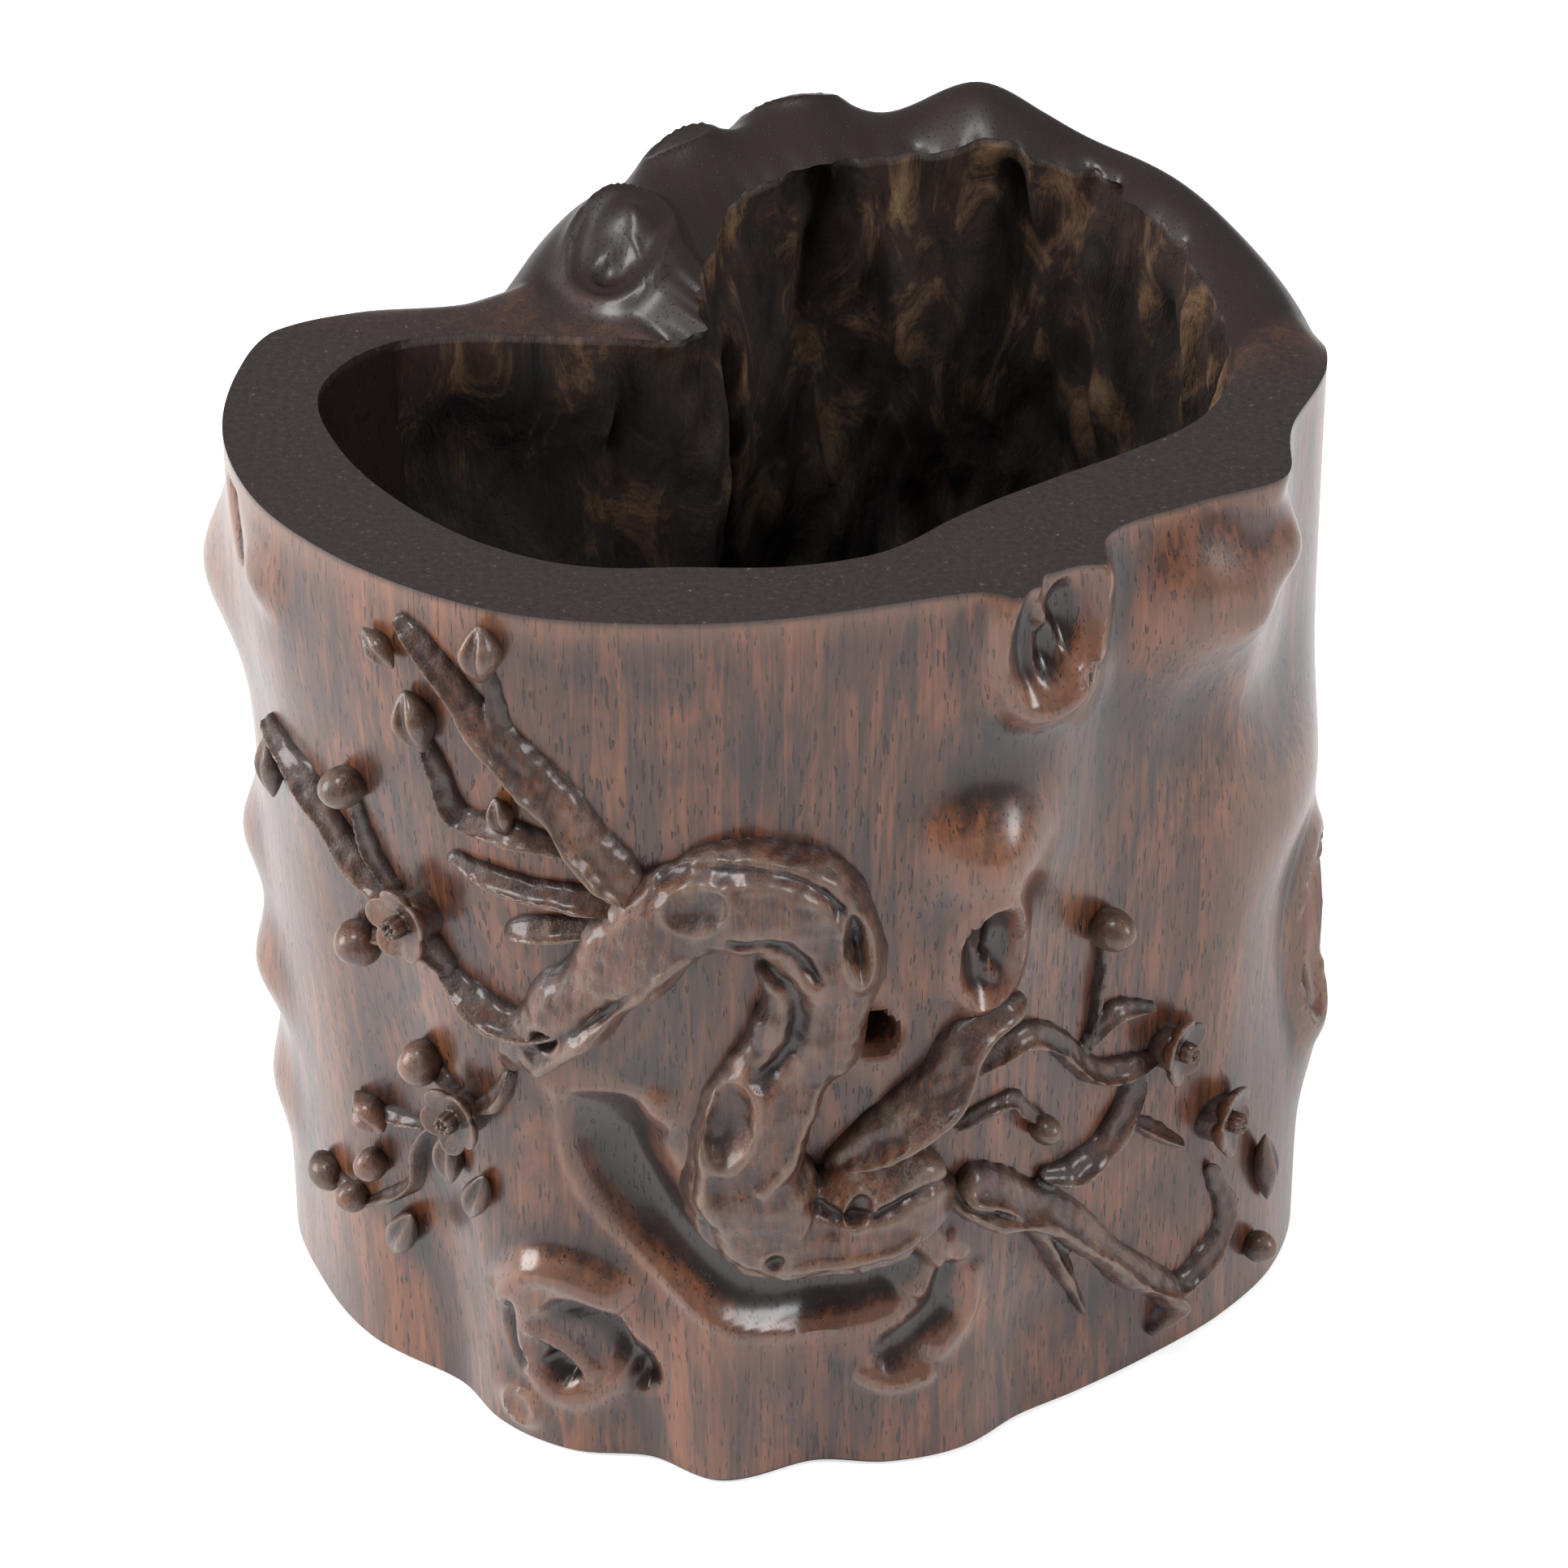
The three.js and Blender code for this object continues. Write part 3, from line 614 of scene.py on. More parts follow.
# %% [markdown]
# A carved twig isn't round. Its lower side ends in a crisp ridge that catches the light, and the face above
# the ridge is dished. So a section is carried along each route with its ridge on the lower side. The stem's
# section is fuller and flatter.

# %% Sections and rolling
TWIG_SECTION = [
    (1, -1), (1.04, -0.4), (1.02, 0.15), (0.92, 0.6), (0.74, 0.95), (0.58, 1.1),
    (0.48, 1.08), (0.36, 0.9), (0.16, 0.66), (-0.1, 0.5), (-0.38, 0.4), (-0.66, 0.26),
    (-0.88, 0.02), (-1, -0.4), (-1.02, -1), (0, -1.1),
]
STEM_SECTION = [
    (1, -1), (1.1, -0.4), (1.08, 0.1), (0.98, 0.45), (0.8, 0.72), (0.56, 0.86),
    (0.28, 0.9), (0, 0.88), (-0.3, 0.84), (-0.58, 0.76), (-0.82, 0.56), (-0.98, 0.22),
    (-1.04, -0.2), (-1.02, -0.6), (-1, -1), (0, -1.1),
]
SECTION_STEPS = 41
LEAST_RINGS = 8
LEAST_SIZE = 0.4
UPPER_SIDE = (0.35, 0, 1)
SWELL = 0.1
SWELL_SIZE = 11
SWELL_WAVES = 6
END_ROUNDING = 0.55  # an end is rounded over this share of its thickness
END_SHARE = 0.6  # and is this much of the thickness
END_LENGTH = 7  # growing to all of it over this length, mm


def unit(rows):
    return rows / np.linalg.norm(rows, axis=1)[:, None]


def rolled_branch(name, route, section, spacing, lift, thick):
    """A closed branch: the section carried along a route of (angle, level, thickness) points."""
    places = [(*(on_wall(a, z, r * lift) / MM), r) for a, z, r in route]
    length = sum(math.dist(a[:3], b[:3]) for a, b in zip(places, places[1:]))
    rings = max(LEAST_RINGS, int(length / spacing))
    run = smooth_run(places, rings)
    centre, size = run[:, :3], np.maximum(run[:, 3], LEAST_SIZE)
    along = unit(np.gradient(centre, axis=0))
    outward = unit(centre * (1, 1, 0) - AXIS)
    side = unit(np.cross(along, outward))
    lower = -1.0 if float((side @ UPPER_SIDE).sum()) > 0 else 1.0
    side *= lower
    up = np.cross(side, along)
    up *= np.sign((up * outward).sum(1))[:, None]
    swell = 1 + SWELL * waves(centre[:, 0], centre[:, 1], centre[:, 2], SWELL_SIZE, SWELL_WAVES)
    ends = np.minimum(np.arange(rings), np.arange(rings)[::-1]) * spacing
    cap = np.clip(ends / (size * END_ROUNDING), 0.02, 1) ** 0.5
    cap = cap * (END_SHARE + (1 - END_SHARE) * np.clip(ends / END_LENGTH, 0, 1))
    section = smooth_run(section + section[:1], SECTION_STEPS)[:-1]
    reach = (size * swell * cap)[:, None, None]
    spread = section[None, :, :1] * side[:, None] + thick * section[None, :, 1:] * up[:, None]
    corners = (centre[:, None] + reach * spread).reshape(-1, 3) * MM
    count = len(section)
    faces = [tuple(range(count - 1, -1, -1)), tuple(range((rings - 1) * count, rings * count))]
    for start in range(0, (rings - 1) * count, count):
        for c in range(count):
            after = (c + 1) % count
            faces.append((start + c, start + after, start + count + after, start + count + c))
    return closed_mesh(name, corners, faces)


def closed_mesh(name, corners, faces):
    """A cylinder whose own points give way to the given ones, with every face looking out."""
    bpy.ops.mesh.primitive_cylinder_add()
    piece = bpy.context.object
    piece.name = name
    in_edit_mode(bpy.ops.mesh.delete, type="VERT")
    piece.data.from_pydata(corners.tolist(), [], faces)
    in_edit_mode(bpy.ops.mesh.normals_make_consistent, inside=False)
    return piece


def fuse(name, parts, voxel, smooth):
    """One skin from several closed meshes, on cells of the given size in mm."""
    bpy.ops.object.select_all(action="DESELECT")
    for part in parts:
        part.select_set(True)
    bpy.context.view_layer.objects.active = parts[0]
    if len(parts) > 1:
        bpy.ops.object.join()
    piece = bpy.context.object
    piece.name = name
    remesh = piece.modifiers.new("one skin", "REMESH")
    remesh.mode = "VOXEL"
    remesh.voxel_size = voxel * MM
    soften = piece.modifiers.new("soften", "SMOOTH")
    soften.factor = 0.5
    soften.iterations = smooth
    for modifier in list(piece.modifiers):
        bpy.ops.object.modifier_apply(modifier=modifier.name)
    bpy.ops.object.shade_smooth()
    print(name, "faces", len(piece.data.polygons))
    return piece


# %% [markdown]
# The stem is one branch. The twigs are slimmer than their routes say, and each group is fused.

# %% Stem and twigs
STEM_CELL = 0.42
TWIG_CELL = 0.34
STEM_SPACING = 0.9
TWIG_SPACING = 0.7


def twigs(name, routes, share, lift, thick):
    parts = []
    for k, route in enumerate(routes):
        slim = [(a, z, r * share) for a, z, r in route]
        parts.append(rolled_branch(f"{name}_{k}", slim, TWIG_SECTION, TWIG_SPACING, lift, thick))
    return fuse(name, parts, TWIG_CELL, 1)


stem_path = rolled_branch("stem_path", STEM, STEM_SECTION, STEM_SPACING, 0.1, 0.9)
stem = fuse("main_stem", [stem_path], STEM_CELL, 2)
right = twigs("right_branches", RIGHT_BRANCHES, 0.7, 0.45, 1.3)
left = twigs("left_twigs", LEFT_BRANCHES, 0.64, 0.5, 1.45)

# %% [markdown]
# The stem has eyes and lines like the wall's, cut only where it stands out of the wall. Then every branch
# gets knobbly bark from the same kind of random waves as the hollow, only smaller.

# %% Bark relief
COARSE_SIZE = 9
FINE_SIZE = 3
FULL_CUT = 3.0  # mm out of the wall where eyes and lines have their full depth
BARK = [(stem, 0.4, 0.12), (right, 0.3, 0.12), (left, 0.22, 0.1)]  # coarse and fine relief, mm


def roughen(piece, coarse, fine):
    places = read_points(piece.data)
    x, y, z = (places / MM).T
    relief = coarse * waves(x, y, z, COARSE_SIZE) + fine * waves(x, y, z, FINE_SIZE)
    set_points(piece, places + read_normals(piece.data) * relief[:, None] * MM)


STEM_EYES = [
    (8, 112, 2.2, 6.5, 0.9, 3, 8), (-6, 79, 4, 8, 1, 2.6, -10), (8.5, 60, 2.2, 3.4, 0.6, 1.8, -20),
    (-1, 52, 2, 2, 0.5, 1.5, 0), (-26, 92, 2.5, 2.5, 0.5, 1.2, 0), (-9, 122, 5, 4, 0.5, 1.2, 30),
]
STEM_STROKES = [
    ([(-5, 110), (1, 104), (1, 94), (-3, 86)], 1.8, -2.4),
    ([(-14, 125), (-5, 128), (3, 124), (8, 116)], 1.2, -1.8),
    ([(-9, 64), (-7, 52), (0, 45), (9, 47)], 1.6, -1.8),
    ([(-8, 84), (-9, 72), (-8, 60)], 1.4, 1.6),
    ([(-3, 66), (1, 72), (4, 86)], 1.2, 1.4),
    ([(-28, 88), (-20, 98), (-13, 108)], 1.4, -1.4),
    ([(-30, 80), (-22, 92), (-16, 103), (-10, 113)], 0.9, 1.2),
    ([(-6, 116), (0, 114), (4, 106)], 1, -1.5),
    ([(2, 62), (8, 58), (16, 62), (22, 60)], 1, -1.5),
    ([(0, 50), (8, 50), (16, 54)], 0.9, 1),
]


def from_axis(piece):
    """Each point in mm from the axis, with its angle and its distance."""
    places = read_points(piece.data) / MM - AXIS
    degrees = np.degrees(np.arctan2(places[:, 0], -places[:, 1]))
    return places, degrees, np.hypot(places[:, 0], places[:, 1])


def carve(piece, eyes, strokes):
    """Cut eyes and lines into a raised piece, along the way out of the wall."""
    places, degrees, reach = from_axis(piece)
    height = places[:, 2]
    raised = np.clip((reach - wall_radius(degrees, height)) / FULL_CUT, 0, 1)
    change = sum(eye(degrees, height, *row) for row in eyes)
    change = change + sum(stroke(degrees, height, *row) for row in strokes)
    places[:, :2] *= (1 + raised * change / reach)[:, None]
    set_points(piece, (places + AXIS) * MM)


def mark_raised(piece):
    """Mark how far each point stands out of the wall, mm."""
    places, degrees, reach = from_axis(piece)
    mark(piece, "raised", reach - wall_radius(degrees, places[:, 2]))


carve(stem, STEM_EYES, STEM_STROKES)
for piece, coarse, fine in BARK:
    roughen(piece, coarse, fine)
    print("bark on", piece.name, "coarse", coarse, "fine", fine, "mm")

# %% [markdown]
# Buds and leaves are small rounded bodies with soft edges. Each starts as a sphere, stretched and thinned
# towards both ends, and a leaf is also dished along its middle. Each stands on the wall with its own up axis
# facing out of the wood. The voxel remesh rounds them alike, as the carver's abrasive did.

# %% Buds and leaves
def wall_frame(degrees, height, out, spin):
    turn = math.radians(degrees)
    outward = Vector((math.sin(turn), -math.cos(turn), 0))
    up = Vector((0, 0, 1))
    right_way = up.cross(outward)
    basis = Matrix((right_way, up, outward)).transposed().to_4x4()
    basis.translation = on_wall(degrees, height, out)
    return basis @ Matrix.Rotation(math.radians(spin), 4, "Z")


# angle, level, width, length, thickness and spin
BUDS = [
    (-31, 163, 3.4, 5.2, 3, 0), (-43, 158, 2.2, 4.2, 1.8, 55), (-30, 133, 2.2, 3.6, 1.8, 15),
    (-67, 116, 3.2, 5.6, 2, 10), (-43, 55, 3, 5.5, 2, 0), (-38, 51, 2.6, 5.5, 2, -20),
    (-54, 30, 3, 7, 2, -30), (73, 28, 2.4, 9, 2, 15), (-39, 147, 3.4, 5.4, 3, 20),
    (-50, 127, 3.6, 3.6, 3.4, 0), (-52, 94, 3.6, 4.2, 3.4, 60), (-45, 74, 3.6, 4.2, 3.4, 0),
    (-56, 55, 3, 4.8, 2.8, 70), (-57, 43, 2.6, 3.2, 2.6, 0), (-61, 33, 2.6, 3, 2.6, 0),
    (-67, 33, 3, 4, 2.4, 70), (45, 96, 3.7, 3.7, 3.6, 0),
    (72, 12, 2.8, 3, 2.6, 0), (35, 62, 2.6, 2.6, 2.6, 0),
]
LEAF_FROM = 1.4  # a body longer than this many times its width is a leaf
LEAF_TAPER = 0.5
BUD_TAPER = 0.12
TAPER_POWER = 1.6
DISH_DEPTH = 0.5
DISH_WIDTH = 0.35
FULLNESS = 1.25
BUD_RISE = 0.35
BUD_STAND = 1.1
BUD_CELL = 0.3


def bud(name, degrees, height, wide, long, thick, spin):
    bpy.ops.mesh.primitive_uv_sphere_add(segments=28, ring_count=18, radius=1)
    body = bpy.context.object
    body.name = name
    ball = read_points(body.data)
    is_leaf = long / wide > LEAF_FROM
    if is_leaf:
        middle = np.exp(-((ball[:, 0] / DISH_WIDTH) ** 2))
        ball[:, 2] -= DISH_DEPTH * np.clip(ball[:, 2], 0, 1) * middle
    taper = 1 - (LEAF_TAPER if is_leaf else BUD_TAPER) * np.abs(ball[:, 1]) ** TAPER_POWER
    ball[:, 0] *= taper
    ball[:, 2] *= taper
    set_points(body, ball)
    shape = Matrix.Diagonal((wide * MM, long * MM, thick * FULLNESS * MM, 1))
    body.data.transform(wall_frame(degrees, height, thick * BUD_RISE + BUD_STAND, spin) @ shape)
    return body


bud_bodies = [bud(f"bud_{k}", *row) for k, row in enumerate(BUDS)]
buds = fuse("buds_and_leaves", bud_bodies, BUD_CELL, 3)

# %% [markdown]
# A blossom has five cupped petals round a raised middle with stamens. A petal is a flattened sphere with its
# edge lifted, which keeps it thick enough to be carved wood. A short cylinder joins the blossom to the wood.

# %% Blossoms
# angle, level, size, spin and how far the middle stands out of the wall
BLOSSOMS = [(-42, 107, 7, 10, 4.2), (-39, 68, 6.6, 40, 3.2), (56, 66, 6.4, 0, 2.2), (64, 46, 6.8, 25, 1.8)]
PETALS = 5
STAMENS = 8
PETAL_TILT = 20
PETAL_CUPPING = 0.9
BLOSSOM_CELL = 0.2
BRANCH_BLUR = 24
# shares of the blossom's size
PETAL_PLACE = (0, 0.58, 0.08)
PETAL_SHAPE = (0.44, 0.42, 0.15)
STAMEN_RING = 0.2
STAMEN_SHAPE = (0.09, 0.09, 0.3)
CUP = (0.62, 0.8, 0.42)  # radius, depth and how deep its middle lies


def sized(shares, size):
    return [size * share * MM for share in shares]


def petals(base, size):
    parts = []
    place = Matrix.Translation(sized(PETAL_PLACE, size))
    tip = Matrix.Rotation(math.radians(PETAL_TILT), 4, "X")
    shape = Matrix.Diagonal((*sized(PETAL_SHAPE, size), 1))
    for k in range(PETALS):
        bpy.ops.mesh.primitive_uv_sphere_add(segments=24, ring_count=14, radius=1)
        petal = bpy.context.object
        ball = read_points(petal.data)
        ball[:, 2] += PETAL_CUPPING * (ball[:, 0] ** 2 + ball[:, 1] ** 2)
        set_points(petal, ball)
        turn = Matrix.Rotation(2 * math.pi * k / PETALS, 4, "Z")
        petal.data.transform(base @ turn @ place @ tip @ shape)
        parts.append(petal)
    return parts


def stamens(base, size):
    """One stamen in the middle and a ring of them round it."""
    parts = []
    shape = Matrix.Diagonal((*sized(STAMEN_SHAPE, size), 1))
    for k in range(STAMENS + 1):
        bpy.ops.mesh.primitive_uv_sphere_add(segments=12, ring_count=8, radius=1)
        stamen = bpy.context.object
        reach = 0 if k == 0 else size * STAMEN_RING * MM
        turn = 2 * math.pi * k / STAMENS
        up = size * STAMEN_SHAPE[2] * MM
        place = Matrix.Translation((reach * math.cos(turn), reach * math.sin(turn), up))
        stamen.data.transform(base @ place @ shape)
        parts.append(stamen)
    return parts


def blossom_parts(degrees, height, size, spin, lift):
    base = wall_frame(degrees, height, lift, spin)
    parts = petals(base, size) + stamens(base, size)
    radius, depth, sink = sized(CUP, size)
    bpy.ops.mesh.primitive_cylinder_add(vertices=24, radius=radius, depth=depth)
    cup = bpy.context.object
    cup.data.transform(base @ Matrix.Translation((0, 0, -sink)))
    return parts + [cup]


blossom_bits = [part for row in BLOSSOMS for part in blossom_parts(*row)]
blossoms = fuse("blossoms", blossom_bits, BLOSSOM_CELL, 1)
for piece in (stem, right, left, buds, blossoms):
    mark_raised(piece)
    mark_dips(piece, BRANCH_BLUR)

# %% [markdown]
# The wood is a dark rosewood: red-brown with orange and nearly black streaks along the grain, fine dark
# pores and a waxed polish. First come small helpers that each add a node and link it.

# %% Node helpers
def new_group(name, inputs, outputs):
    group = bpy.data.node_groups.new(name, "ShaderNodeTree")
    for label, kind, value in inputs:
        group.interface.new_socket(label, in_out="INPUT", socket_type=kind).default_value = value
    for label, kind in outputs:
        group.interface.new_socket(label, in_out="OUTPUT", socket_type=kind)
    return group, group.nodes.new("NodeGroupInput").outputs, group.nodes.new("NodeGroupOutput").inputs


def ramp(tree, source, stops):
    """A ramp through (place, color) stops; a grey is one number."""
    node = tree.nodes.new("ShaderNodeValToRGB")
    elements = node.color_ramp.elements
    while len(elements) < len(stops):
        elements.new(0.5)
    for element, (place, color) in zip(elements, stops):
        element.position = place
        element.color = (*(color if isinstance(color, tuple) else (color,) * 3), 1)
    tree.links.new(source, node.inputs[0])
    return node.outputs[0]


def noise(tree, vector, stretch, detail, roughness, distortion=0.0):
    place = tree.nodes.new("ShaderNodeMapping")
    place.inputs["Scale"].default_value = stretch
    tree.links.new(vector, place.inputs["Vector"])
    node = tree.nodes.new("ShaderNodeTexNoise")
    node.inputs["Scale"].default_value = 1.0
    node.inputs["Detail"].default_value = detail
    node.inputs["Roughness"].default_value = roughness
    node.inputs["Distortion"].default_value = distortion
    tree.links.new(place.outputs[0], node.inputs["Vector"])
    return node.outputs["Fac"]


def put(tree, socket, value):
    """A number or a colour goes into the socket, and another socket is linked to it."""
    if isinstance(value, (int, float)):
        socket.default_value = value
    elif isinstance(value, tuple):
        socket.default_value = (*value, 1)
    else:
        tree.links.new(value, socket)


def math_node(tree, kind, a, b):
    node = tree.nodes.new("ShaderNodeMath")
    node.operation = kind
    put(tree, node.inputs[0], a)
    put(tree, node.inputs[1], b)
    return node.outputs[0]


def times(tree, a, b):
    return math_node(tree, "MULTIPLY", a, b)


def plus(tree, a, b):
    return math_node(tree, "ADD", a, b)


def fade(tree, source, start, end, first, last):
    """The first value up to the start, the last from the end on, and a straight fade between."""
    node = tree.nodes.new("ShaderNodeMapRange")
    put(tree, node.inputs["Value"], source)
    put(tree, node.inputs["From Min"], start)
    put(tree, node.inputs["From Max"], end)
    put(tree, node.inputs["To Min"], first)
    put(tree, node.inputs["To Max"], last)
    return node.outputs["Result"]


def mix_color(tree, factor, a, b, blend="MIX"):
    node = tree.nodes.new("ShaderNodeMix")
    node.data_type = "RGBA"
    node.blend_type = blend
    for label, kind, value in (("Factor", "VALUE", factor), ("A", "RGBA", a), ("B", "RGBA", b)):
        socket = next(s for s in node.inputs if s.name == label and s.enabled and s.type == kind)
        put(tree, socket, value)
    return next(s for s in node.outputs if s.enabled and s.type == "RGBA")


# %% [markdown]
# Real grain runs through the whole block, so it reads the place in the wood and needs no unwrapping. It is a
# node group, and each material uses it with its own colours. A broad and a fine noise, both drawn out
# upwards, make the streaks, and a third noise adds short dark pores.

# %% Grain and pores
BROAD_STRETCH = (46, 46, 12)
FINE_STRETCH = (620, 620, 30)
PORE_STRETCH = (1900, 1900, 260)
PORE_COLOR = (0.012, 0.006, 0.004)

grain, grain_in, grain_out = new_group(
    "rosewood grain",
    [
        ("Vector", "NodeSocketVector", (0, 0, 0)),
        ("Dark", "NodeSocketColor", (0.026, 0.011, 0.008, 1)),
        ("Mid", "NodeSocketColor", (0.088, 0.03, 0.016, 1)),
        ("Bright", "NodeSocketColor", (0.21, 0.07, 0.027, 1)),
    ],
    [("Color", "NodeSocketColor"), ("Pores", "NodeSocketFloat")],
)
vector = grain_in["Vector"]
broad = noise(grain, vector, BROAD_STRETCH, 7, 0.64, 2.8)
fine = noise(grain, vector, FINE_STRETCH, 4, 0.6, 1.0)
broad_share = times(grain, broad, 0.55)
fine_share = times(grain, fine, 0.45)
streak = plus(grain, broad_share, fine_share)
dark_mask = ramp(grain, streak, [(0.4, 1), (0.52, 0)])
bright_mask = ramp(grain, streak, [(0.5, 0), (0.64, 1)])
tone = mix_color(grain, dark_mask, grain_in["Mid"], grain_in["Dark"])
tone = mix_color(grain, bright_mask, tone, grain_in["Bright"])
dashes = noise(grain, vector, PORE_STRETCH, 1.0, 0.5)
pores = ramp(grain, dashes, [(0.645, 0), (0.7, 1)])
tone = mix_color(grain, pores, tone, PORE_COLOR)
grain.links.new(tone, grain_out["Color"])
grain.links.new(pores, grain_out["Pores"])
print("grain nodes", len(grain.nodes))

# %% [markdown]
# Hands polish the ridges of the real pot, and wax and dirt darken its dips; the colour also paints a
# highlight on the ridges and shade in the dips. The marked dips say where. Two materials show this with
# their own values, so it is a node group as well.

# %% Wear, dirt and painted light
DIRT_AND_SHADE_SHARE = 0.85
DIRT_AND_SHADE_COLOR = (0.01, 0.005, 0.004)

wear_and_painted_light, wear_and_light_in, wear_and_light_out = new_group(
    "wear and dirt",
    [
        ("Color", "NodeSocketColor", (0.1, 0.04, 0.02, 1)),
        ("Dip", "NodeSocketFloat", 0.0),
        ("Dark At", "NodeSocketFloat", 0.2),
        ("Ridge Color", "NodeSocketColor", (0.2, 0.13, 0.09, 1)),
        ("Ridge Share", "NodeSocketFloat", 0.5),
    ],
    [("Color", "NodeSocketColor")],
)
dip = plus(wear_and_painted_light, times(wear_and_painted_light, wear_and_light_in["Dip"], 0.5), 0.5)
# painted shade: the dips darken towards a near-black colour, as dirt and as the shade that falls in them
dirt_and_shade = fade(wear_and_painted_light, dip, 0.51, plus(wear_and_painted_light, wear_and_light_in["Dark At"], 0.5), 0.0, DIRT_AND_SHADE_SHARE)
# painted highlight: the ridges turn paler, as wear and as a highlight on their tops
rubbed_and_highlit = fade(wear_and_painted_light, dip, 0.3, 0.46, wear_and_light_in["Ridge Share"], 0.0)
tone = mix_color(wear_and_painted_light, rubbed_and_highlit, wear_and_light_in["Color"], wear_and_light_in["Ridge Color"])
wear_and_painted_light.links.new(mix_color(wear_and_painted_light, dirt_and_shade, tone, DIRT_AND_SHADE_COLOR), wear_and_light_out["Color"])
print("wear and dirt nodes", len(wear_and_painted_light.nodes))

# %% [markdown]
# Every wood starts from one plain material, and small helpers place the two groups and the bumps in it.

# %% What the woods share
def attribute(tree, name):
    node = tree.nodes.new("ShaderNodeAttribute")
    node.attribute_name = name
    return node.outputs["Fac"]


def new_material(name, roughness, coat=0.0):
    material = bpy.data.materials.new(name)
    material.use_nodes = True
    tree = material.node_tree
    shader = tree.nodes["Principled BSDF"]
    shader.inputs["Roughness"].default_value = roughness
    shader.inputs["Coat Weight"].default_value = coat
    shader.inputs["Coat Roughness"].default_value = 0.2
    place = tree.nodes.new("ShaderNodeTexCoord").outputs["Object"]
    return material, tree, shader, place


def place_grain(tree, place, **colors):
    node = tree.nodes.new("ShaderNodeGroup")
    node.node_tree = grain
    tree.links.new(place, node.inputs["Vector"])
    for label, color in colors.items():
        node.inputs[label].default_value = (*color, 1)
    return node.outputs["Color"], node.outputs["Pores"]


def bump_into(tree, shader, height, distance):
    node = tree.nodes.new("ShaderNodeBump")
    node.inputs["Distance"].default_value = distance
    node.inputs["Strength"].default_value = 1.0
    tree.links.new(height, node.inputs["Height"])
    tree.links.new(node.outputs["Normal"], shader.inputs["Normal"])


def add_wear_and_painted_light(tree, color, dark_at, ridge_color, ridge_share):
    node = tree.nodes.new("ShaderNodeGroup")
    node.node_tree = wear_and_painted_light
    node.inputs["Dark At"].default_value = dark_at
    node.inputs["Ridge Color"].default_value = (*ridge_color, 1)
    node.inputs["Ridge Share"].default_value = ridge_share
    tree.links.new(color, node.inputs["Color"])
    tree.links.new(attribute(tree, "dip"), node.inputs["Dip"])
    return node.outputs["Color"]


# %% [markdown]
# One material dresses the whole block, because the real finishes run into one another. The crown and the
# scooped side of the hollow are nearly black, the sawn rim shows grey end grain, and the decayed inside is
# brown and dull, with painted shade making it darker with depth. The rim and the crown have less wax, the
# decay none.

# %% The polished block
POLISH = 0.34
WAX = 0.55
SAWN_STOPS = [(0.3, (0.024, 0.017, 0.015)), (0.68, (0.038, 0.027, 0.024)), (0.8, (0.13, 0.11, 0.095))]
DECAY_STOPS = [
    (0.35, (0.006, 0.003, 0.002)), (0.52, (0.035, 0.016, 0.009)),
    (0.62, (0.16, 0.085, 0.04)), (0.75, (0.3, 0.19, 0.1)),
]
DEPTH_SHADE_STOPS = [(0.0, 1), (0.25, 0.55), (0.6, 0.06)]
CROWN_COLOR = (0.02, 0.011, 0.009)
SCOOP_COLOR = (0.014, 0.008, 0.007)

wood, tree, shader, place = new_material("polished rosewood", POLISH, WAX)
grain_color, grain_pores = place_grain(tree, place)
sawn = attribute(tree, "sawn")
crowned = attribute(tree, "crown")
inside = attribute(tree, "inside")
end_grain = noise(tree, place, (900, 900, 900), 2, 0.5)
end_color = ramp(tree, end_grain, SAWN_STOPS)
tan_noise = noise(tree, place, (85, 85, 48), 12, 0.68, 0.9)
fibres = noise(tree, place, (650, 650, 110), 5, 0.7, 0.6)
decayed = ramp(tree, tan_noise, DECAY_STOPS)
# pale ridges are wear with a painted highlight, dark dips are dirt with painted shade
color = add_wear_and_painted_light(tree, grain_color, 0.22, (0.26, 0.13, 0.08), 0.35)
color = mix_color(tree, crowned, color, CROWN_COLOR)
color = mix_color(tree, attribute(tree, "scooped"), color, SCOOP_COLOR)
# painted shade: the decayed inside is darkened the deeper it lies in the hollow
depth_shade = ramp(tree, attribute(tree, "deep"), DEPTH_SHADE_STOPS)
decayed = mix_color(tree, 1.0, decayed, depth_shade, "MULTIPLY")
color = mix_color(tree, inside, color, decayed)
color = mix_color(tree, sawn, color, end_color)
tree.links.new(color, shader.inputs["Base Color"])
dullness = math_node(tree, "MAXIMUM", inside, times(tree, crowned, 0.22))
rough_map = ramp(tree, dullness, [(0.0, POLISH), (1.0, 0.85)])
tree.links.new(rough_map, shader.inputs["Roughness"])
sawn_dull = times(tree, sawn, 0.85)
dull = math_node(tree, "MAXIMUM", sawn_dull, times(tree, crowned, 0.6))
coated = math_node(tree, "SUBTRACT", 1.0, math_node(tree, "MAXIMUM", inside, dull))
tree.links.new(times(tree, coated, WAX), shader.inputs["Coat Weight"])
pore_depth = times(tree, grain_pores, -1.0)
torn = plus(tree, tan_noise, times(tree, fibres, 0.5))
inner_relief = times(tree, times(tree, torn, inside), 9.0)
bump_into(tree, shader, plus(tree, pore_depth, inner_relief), 0.00016)
print(wood.name, "nodes", len(tree.nodes))

# %% [markdown]
# The branch is the same wood, so it has the same grain. Its knobs are pale in patches, partly wear and partly
# a painted sheen, and painted shade makes it dark where it comes out of the wall, which sets it off from the
# ground as in the photograph.

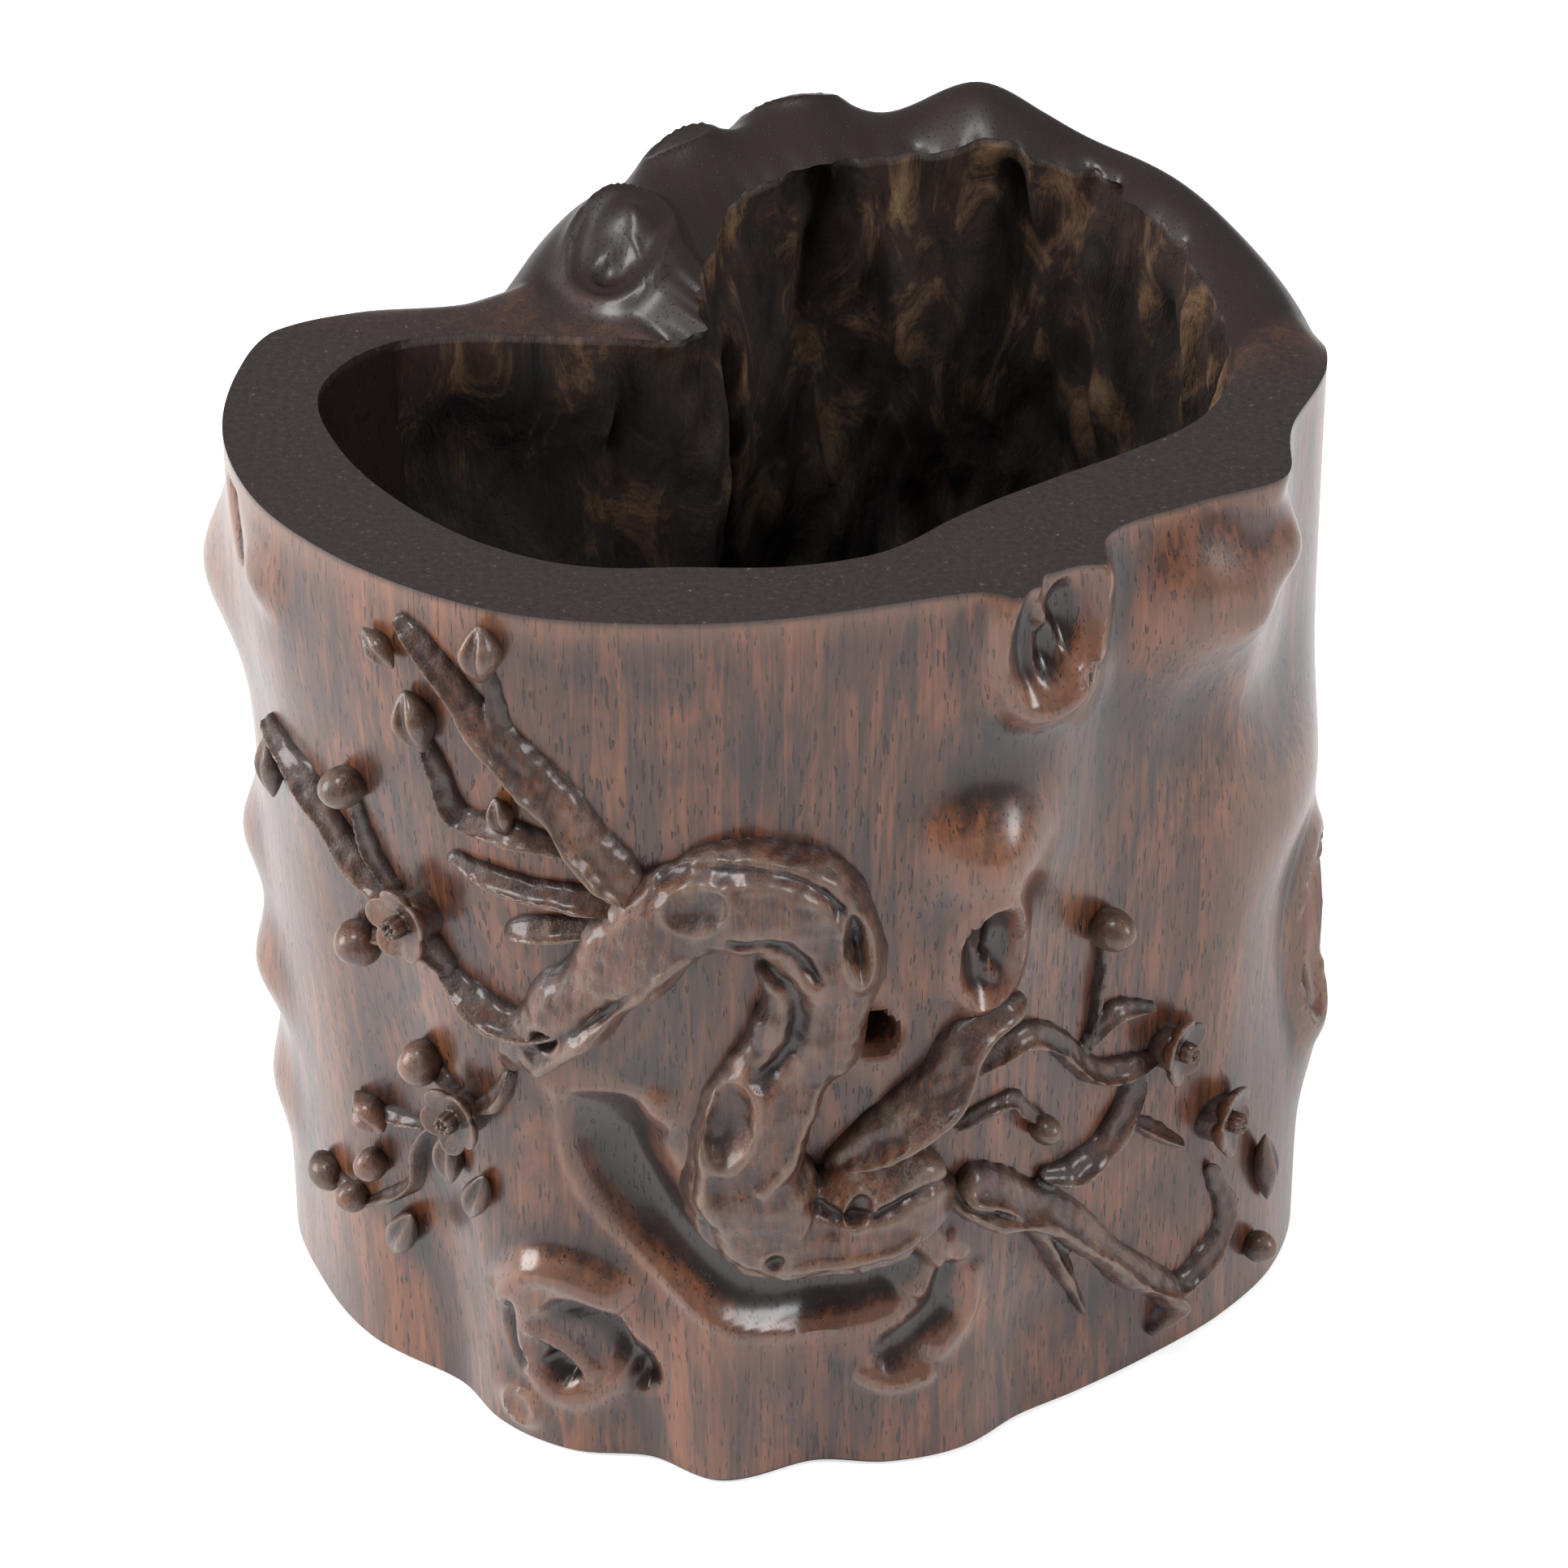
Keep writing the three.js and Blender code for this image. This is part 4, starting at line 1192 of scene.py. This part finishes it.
# %% Carved bark
UNDERCUT_SHADE_STOPS = [(0.02, 0.9), (0.4, 0)]
bark, tree, shader, place = new_material("carved bark", 0.36, 0.5)
bark_color = place_grain(
    tree, place, Dark=(0.024, 0.011, 0.008), Mid=(0.08, 0.028, 0.015), Bright=(0.18, 0.068, 0.03)
)[0]
# pale patches: partly wear, partly a painted sheen on the knobs
wear_sheen_noise = noise(tree, place, (260, 260, 180), 6, 0.75)
patchy = noise(tree, place, (45, 45, 45), 2, 0.5)
wear_sheen_share = times(tree, wear_sheen_noise, 0.6)
patches = plus(tree, wear_sheen_share, times(tree, patchy, 0.4))
wear_and_sheen_mask = ramp(tree, patches, [(0.55, 0), (0.66, 0.65)])
color = mix_color(tree, wear_and_sheen_mask, bark_color, (0.2, 0.15, 0.11))
# pale ridges are wear with a painted highlight, dark dips are dirt with painted shade
color = add_wear_and_painted_light(tree, color, 0.16, (0.2, 0.13, 0.09), 0.5)
# painted shade: the bark turns near black close to the wall, where its undercut lies
height = times(tree, attribute(tree, "raised"), 0.1)
color = mix_color(tree, ramp(tree, height, UNDERCUT_SHADE_STOPS), color, (0.012, 0.006, 0.005))
tree.links.new(color, shader.inputs["Base Color"])
bump_into(tree, shader, wear_sheen_noise, 0.0006)
print(bark.name, "nodes", len(tree.nodes))

# %% [markdown]
# The board and its plug are planed and thinly waxed, so they are plainer and duller. The pegs are paler.
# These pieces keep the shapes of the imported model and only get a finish.

# %% Board and pegs
def plain_wood(name, roughness, depth, **colors):
    material, tree, shader, place = new_material(name, roughness)
    color, pores = place_grain(tree, place, **colors)
    tree.links.new(color, shader.inputs["Base Color"])
    bump_into(tree, shader, pores, depth)
    print(name, "nodes", len(tree.nodes))
    return material


board_wood = plain_wood("board wood", 0.55, 0.00012, Mid=(0.06, 0.03, 0.018), Bright=(0.11, 0.055, 0.03))
peg_wood = plain_wood(
    "peg wood", 0.6, 0.0001, Dark=(0.12, 0.07, 0.04), Mid=(0.22, 0.14, 0.075), Bright=(0.32, 0.22, 0.12)
)

# %% [markdown]
# Each piece takes its material.

# %% Dress the pieces
def dress(piece, material):
    piece.data.materials.clear()
    piece.data.materials.append(material)


dress(block, wood)
dress(inner, wood)
for piece in (stem, right, left, buds, blossoms):
    dress(piece, bark)
for name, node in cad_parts.items():
    if name != "trunk":
        dress(node, peg_wood if "peg" in name else board_wood)

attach(block, "root")
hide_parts("trunk")
for piece in (inner, stem, right, left, buds, blossoms):
    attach(piece, "root")
    print("dressed", piece.name)

# %% [markdown]
# The photograph has a pure white ground and soft light from all sides, stronger from the left and from
# above, which lays a pale sheen on the polished wall. More light would bleach the wood, so the floor glows
# only for the camera and, more weakly, for the polish that mirrors it.

# %% Floor, lamps and world
PAPER_GLOW = 0.6  # of the floor as the camera sees it
PAPER_MIRRORED = 0.25  # and as the polish mirrors it
SKY_LIGHT = 0.5
SKY_MIRRORED = -0.3  # taken off the sky where the polish mirrors it
LAMPS_AIM = (0, 0, 0.09)

bpy.ops.object.select_all(action="DESELECT")
bpy.ops.mesh.primitive_plane_add(size=6, location=(0, 0, 0))
floor = bpy.context.object
floor.name = "floor"
paper, tree, shader, place = new_material("white paper", 0.9)
shader.inputs["Base Color"].default_value = (0.86, 0.86, 0.86, 1)
shader.inputs["Specular IOR Level"].default_value = 0.1
ray = tree.nodes.new("ShaderNodeLightPath")
seen = times(tree, ray.outputs["Is Camera Ray"], PAPER_GLOW)
mirrored = times(tree, ray.outputs["Is Glossy Ray"], PAPER_MIRRORED)
tree.links.new(plus(tree, seen, mirrored), shader.inputs["Emission Strength"])
shader.inputs["Emission Color"].default_value = (1, 1, 1, 1)
dress(floor, paper)


def lamp(name, place, size, watts):
    bpy.ops.object.light_add(type="AREA", location=place)
    light = bpy.context.object
    light.name = name
    light.data.shape = "DISK"
    light.data.size = size
    light.data.energy = watts
    aim = Vector(LAMPS_AIM) - Vector(place)
    light.rotation_euler = aim.to_track_quat("-Z", "Y").to_euler()
    print(name, watts, "W at", round(aim.length, 2), "m")


lamp("left_soft", (-1.2, -0.15, 0.6), 0.8, 17)
lamp("top_soft", (-0.25, -0.5, 1.4), 0.4, 8)
lamp("right_soft", (1.2, -0.4, 0.7), 0.5, 7)

world = bpy.data.worlds.new("white studio")
bpy.context.scene.world = world
world.use_nodes = True
sky = world.node_tree
background = sky.nodes["Background"]
background.inputs["Color"].default_value = (1, 1, 1, 1)
ray = sky.nodes.new("ShaderNodeLightPath")
taken = times(sky, ray.outputs["Is Glossy Ray"], SKY_MIRRORED)
sky.links.new(plus(sky, taken, SKY_LIGHT), background.inputs["Strength"])
bpy.context.scene.view_settings.view_transform = "Standard"
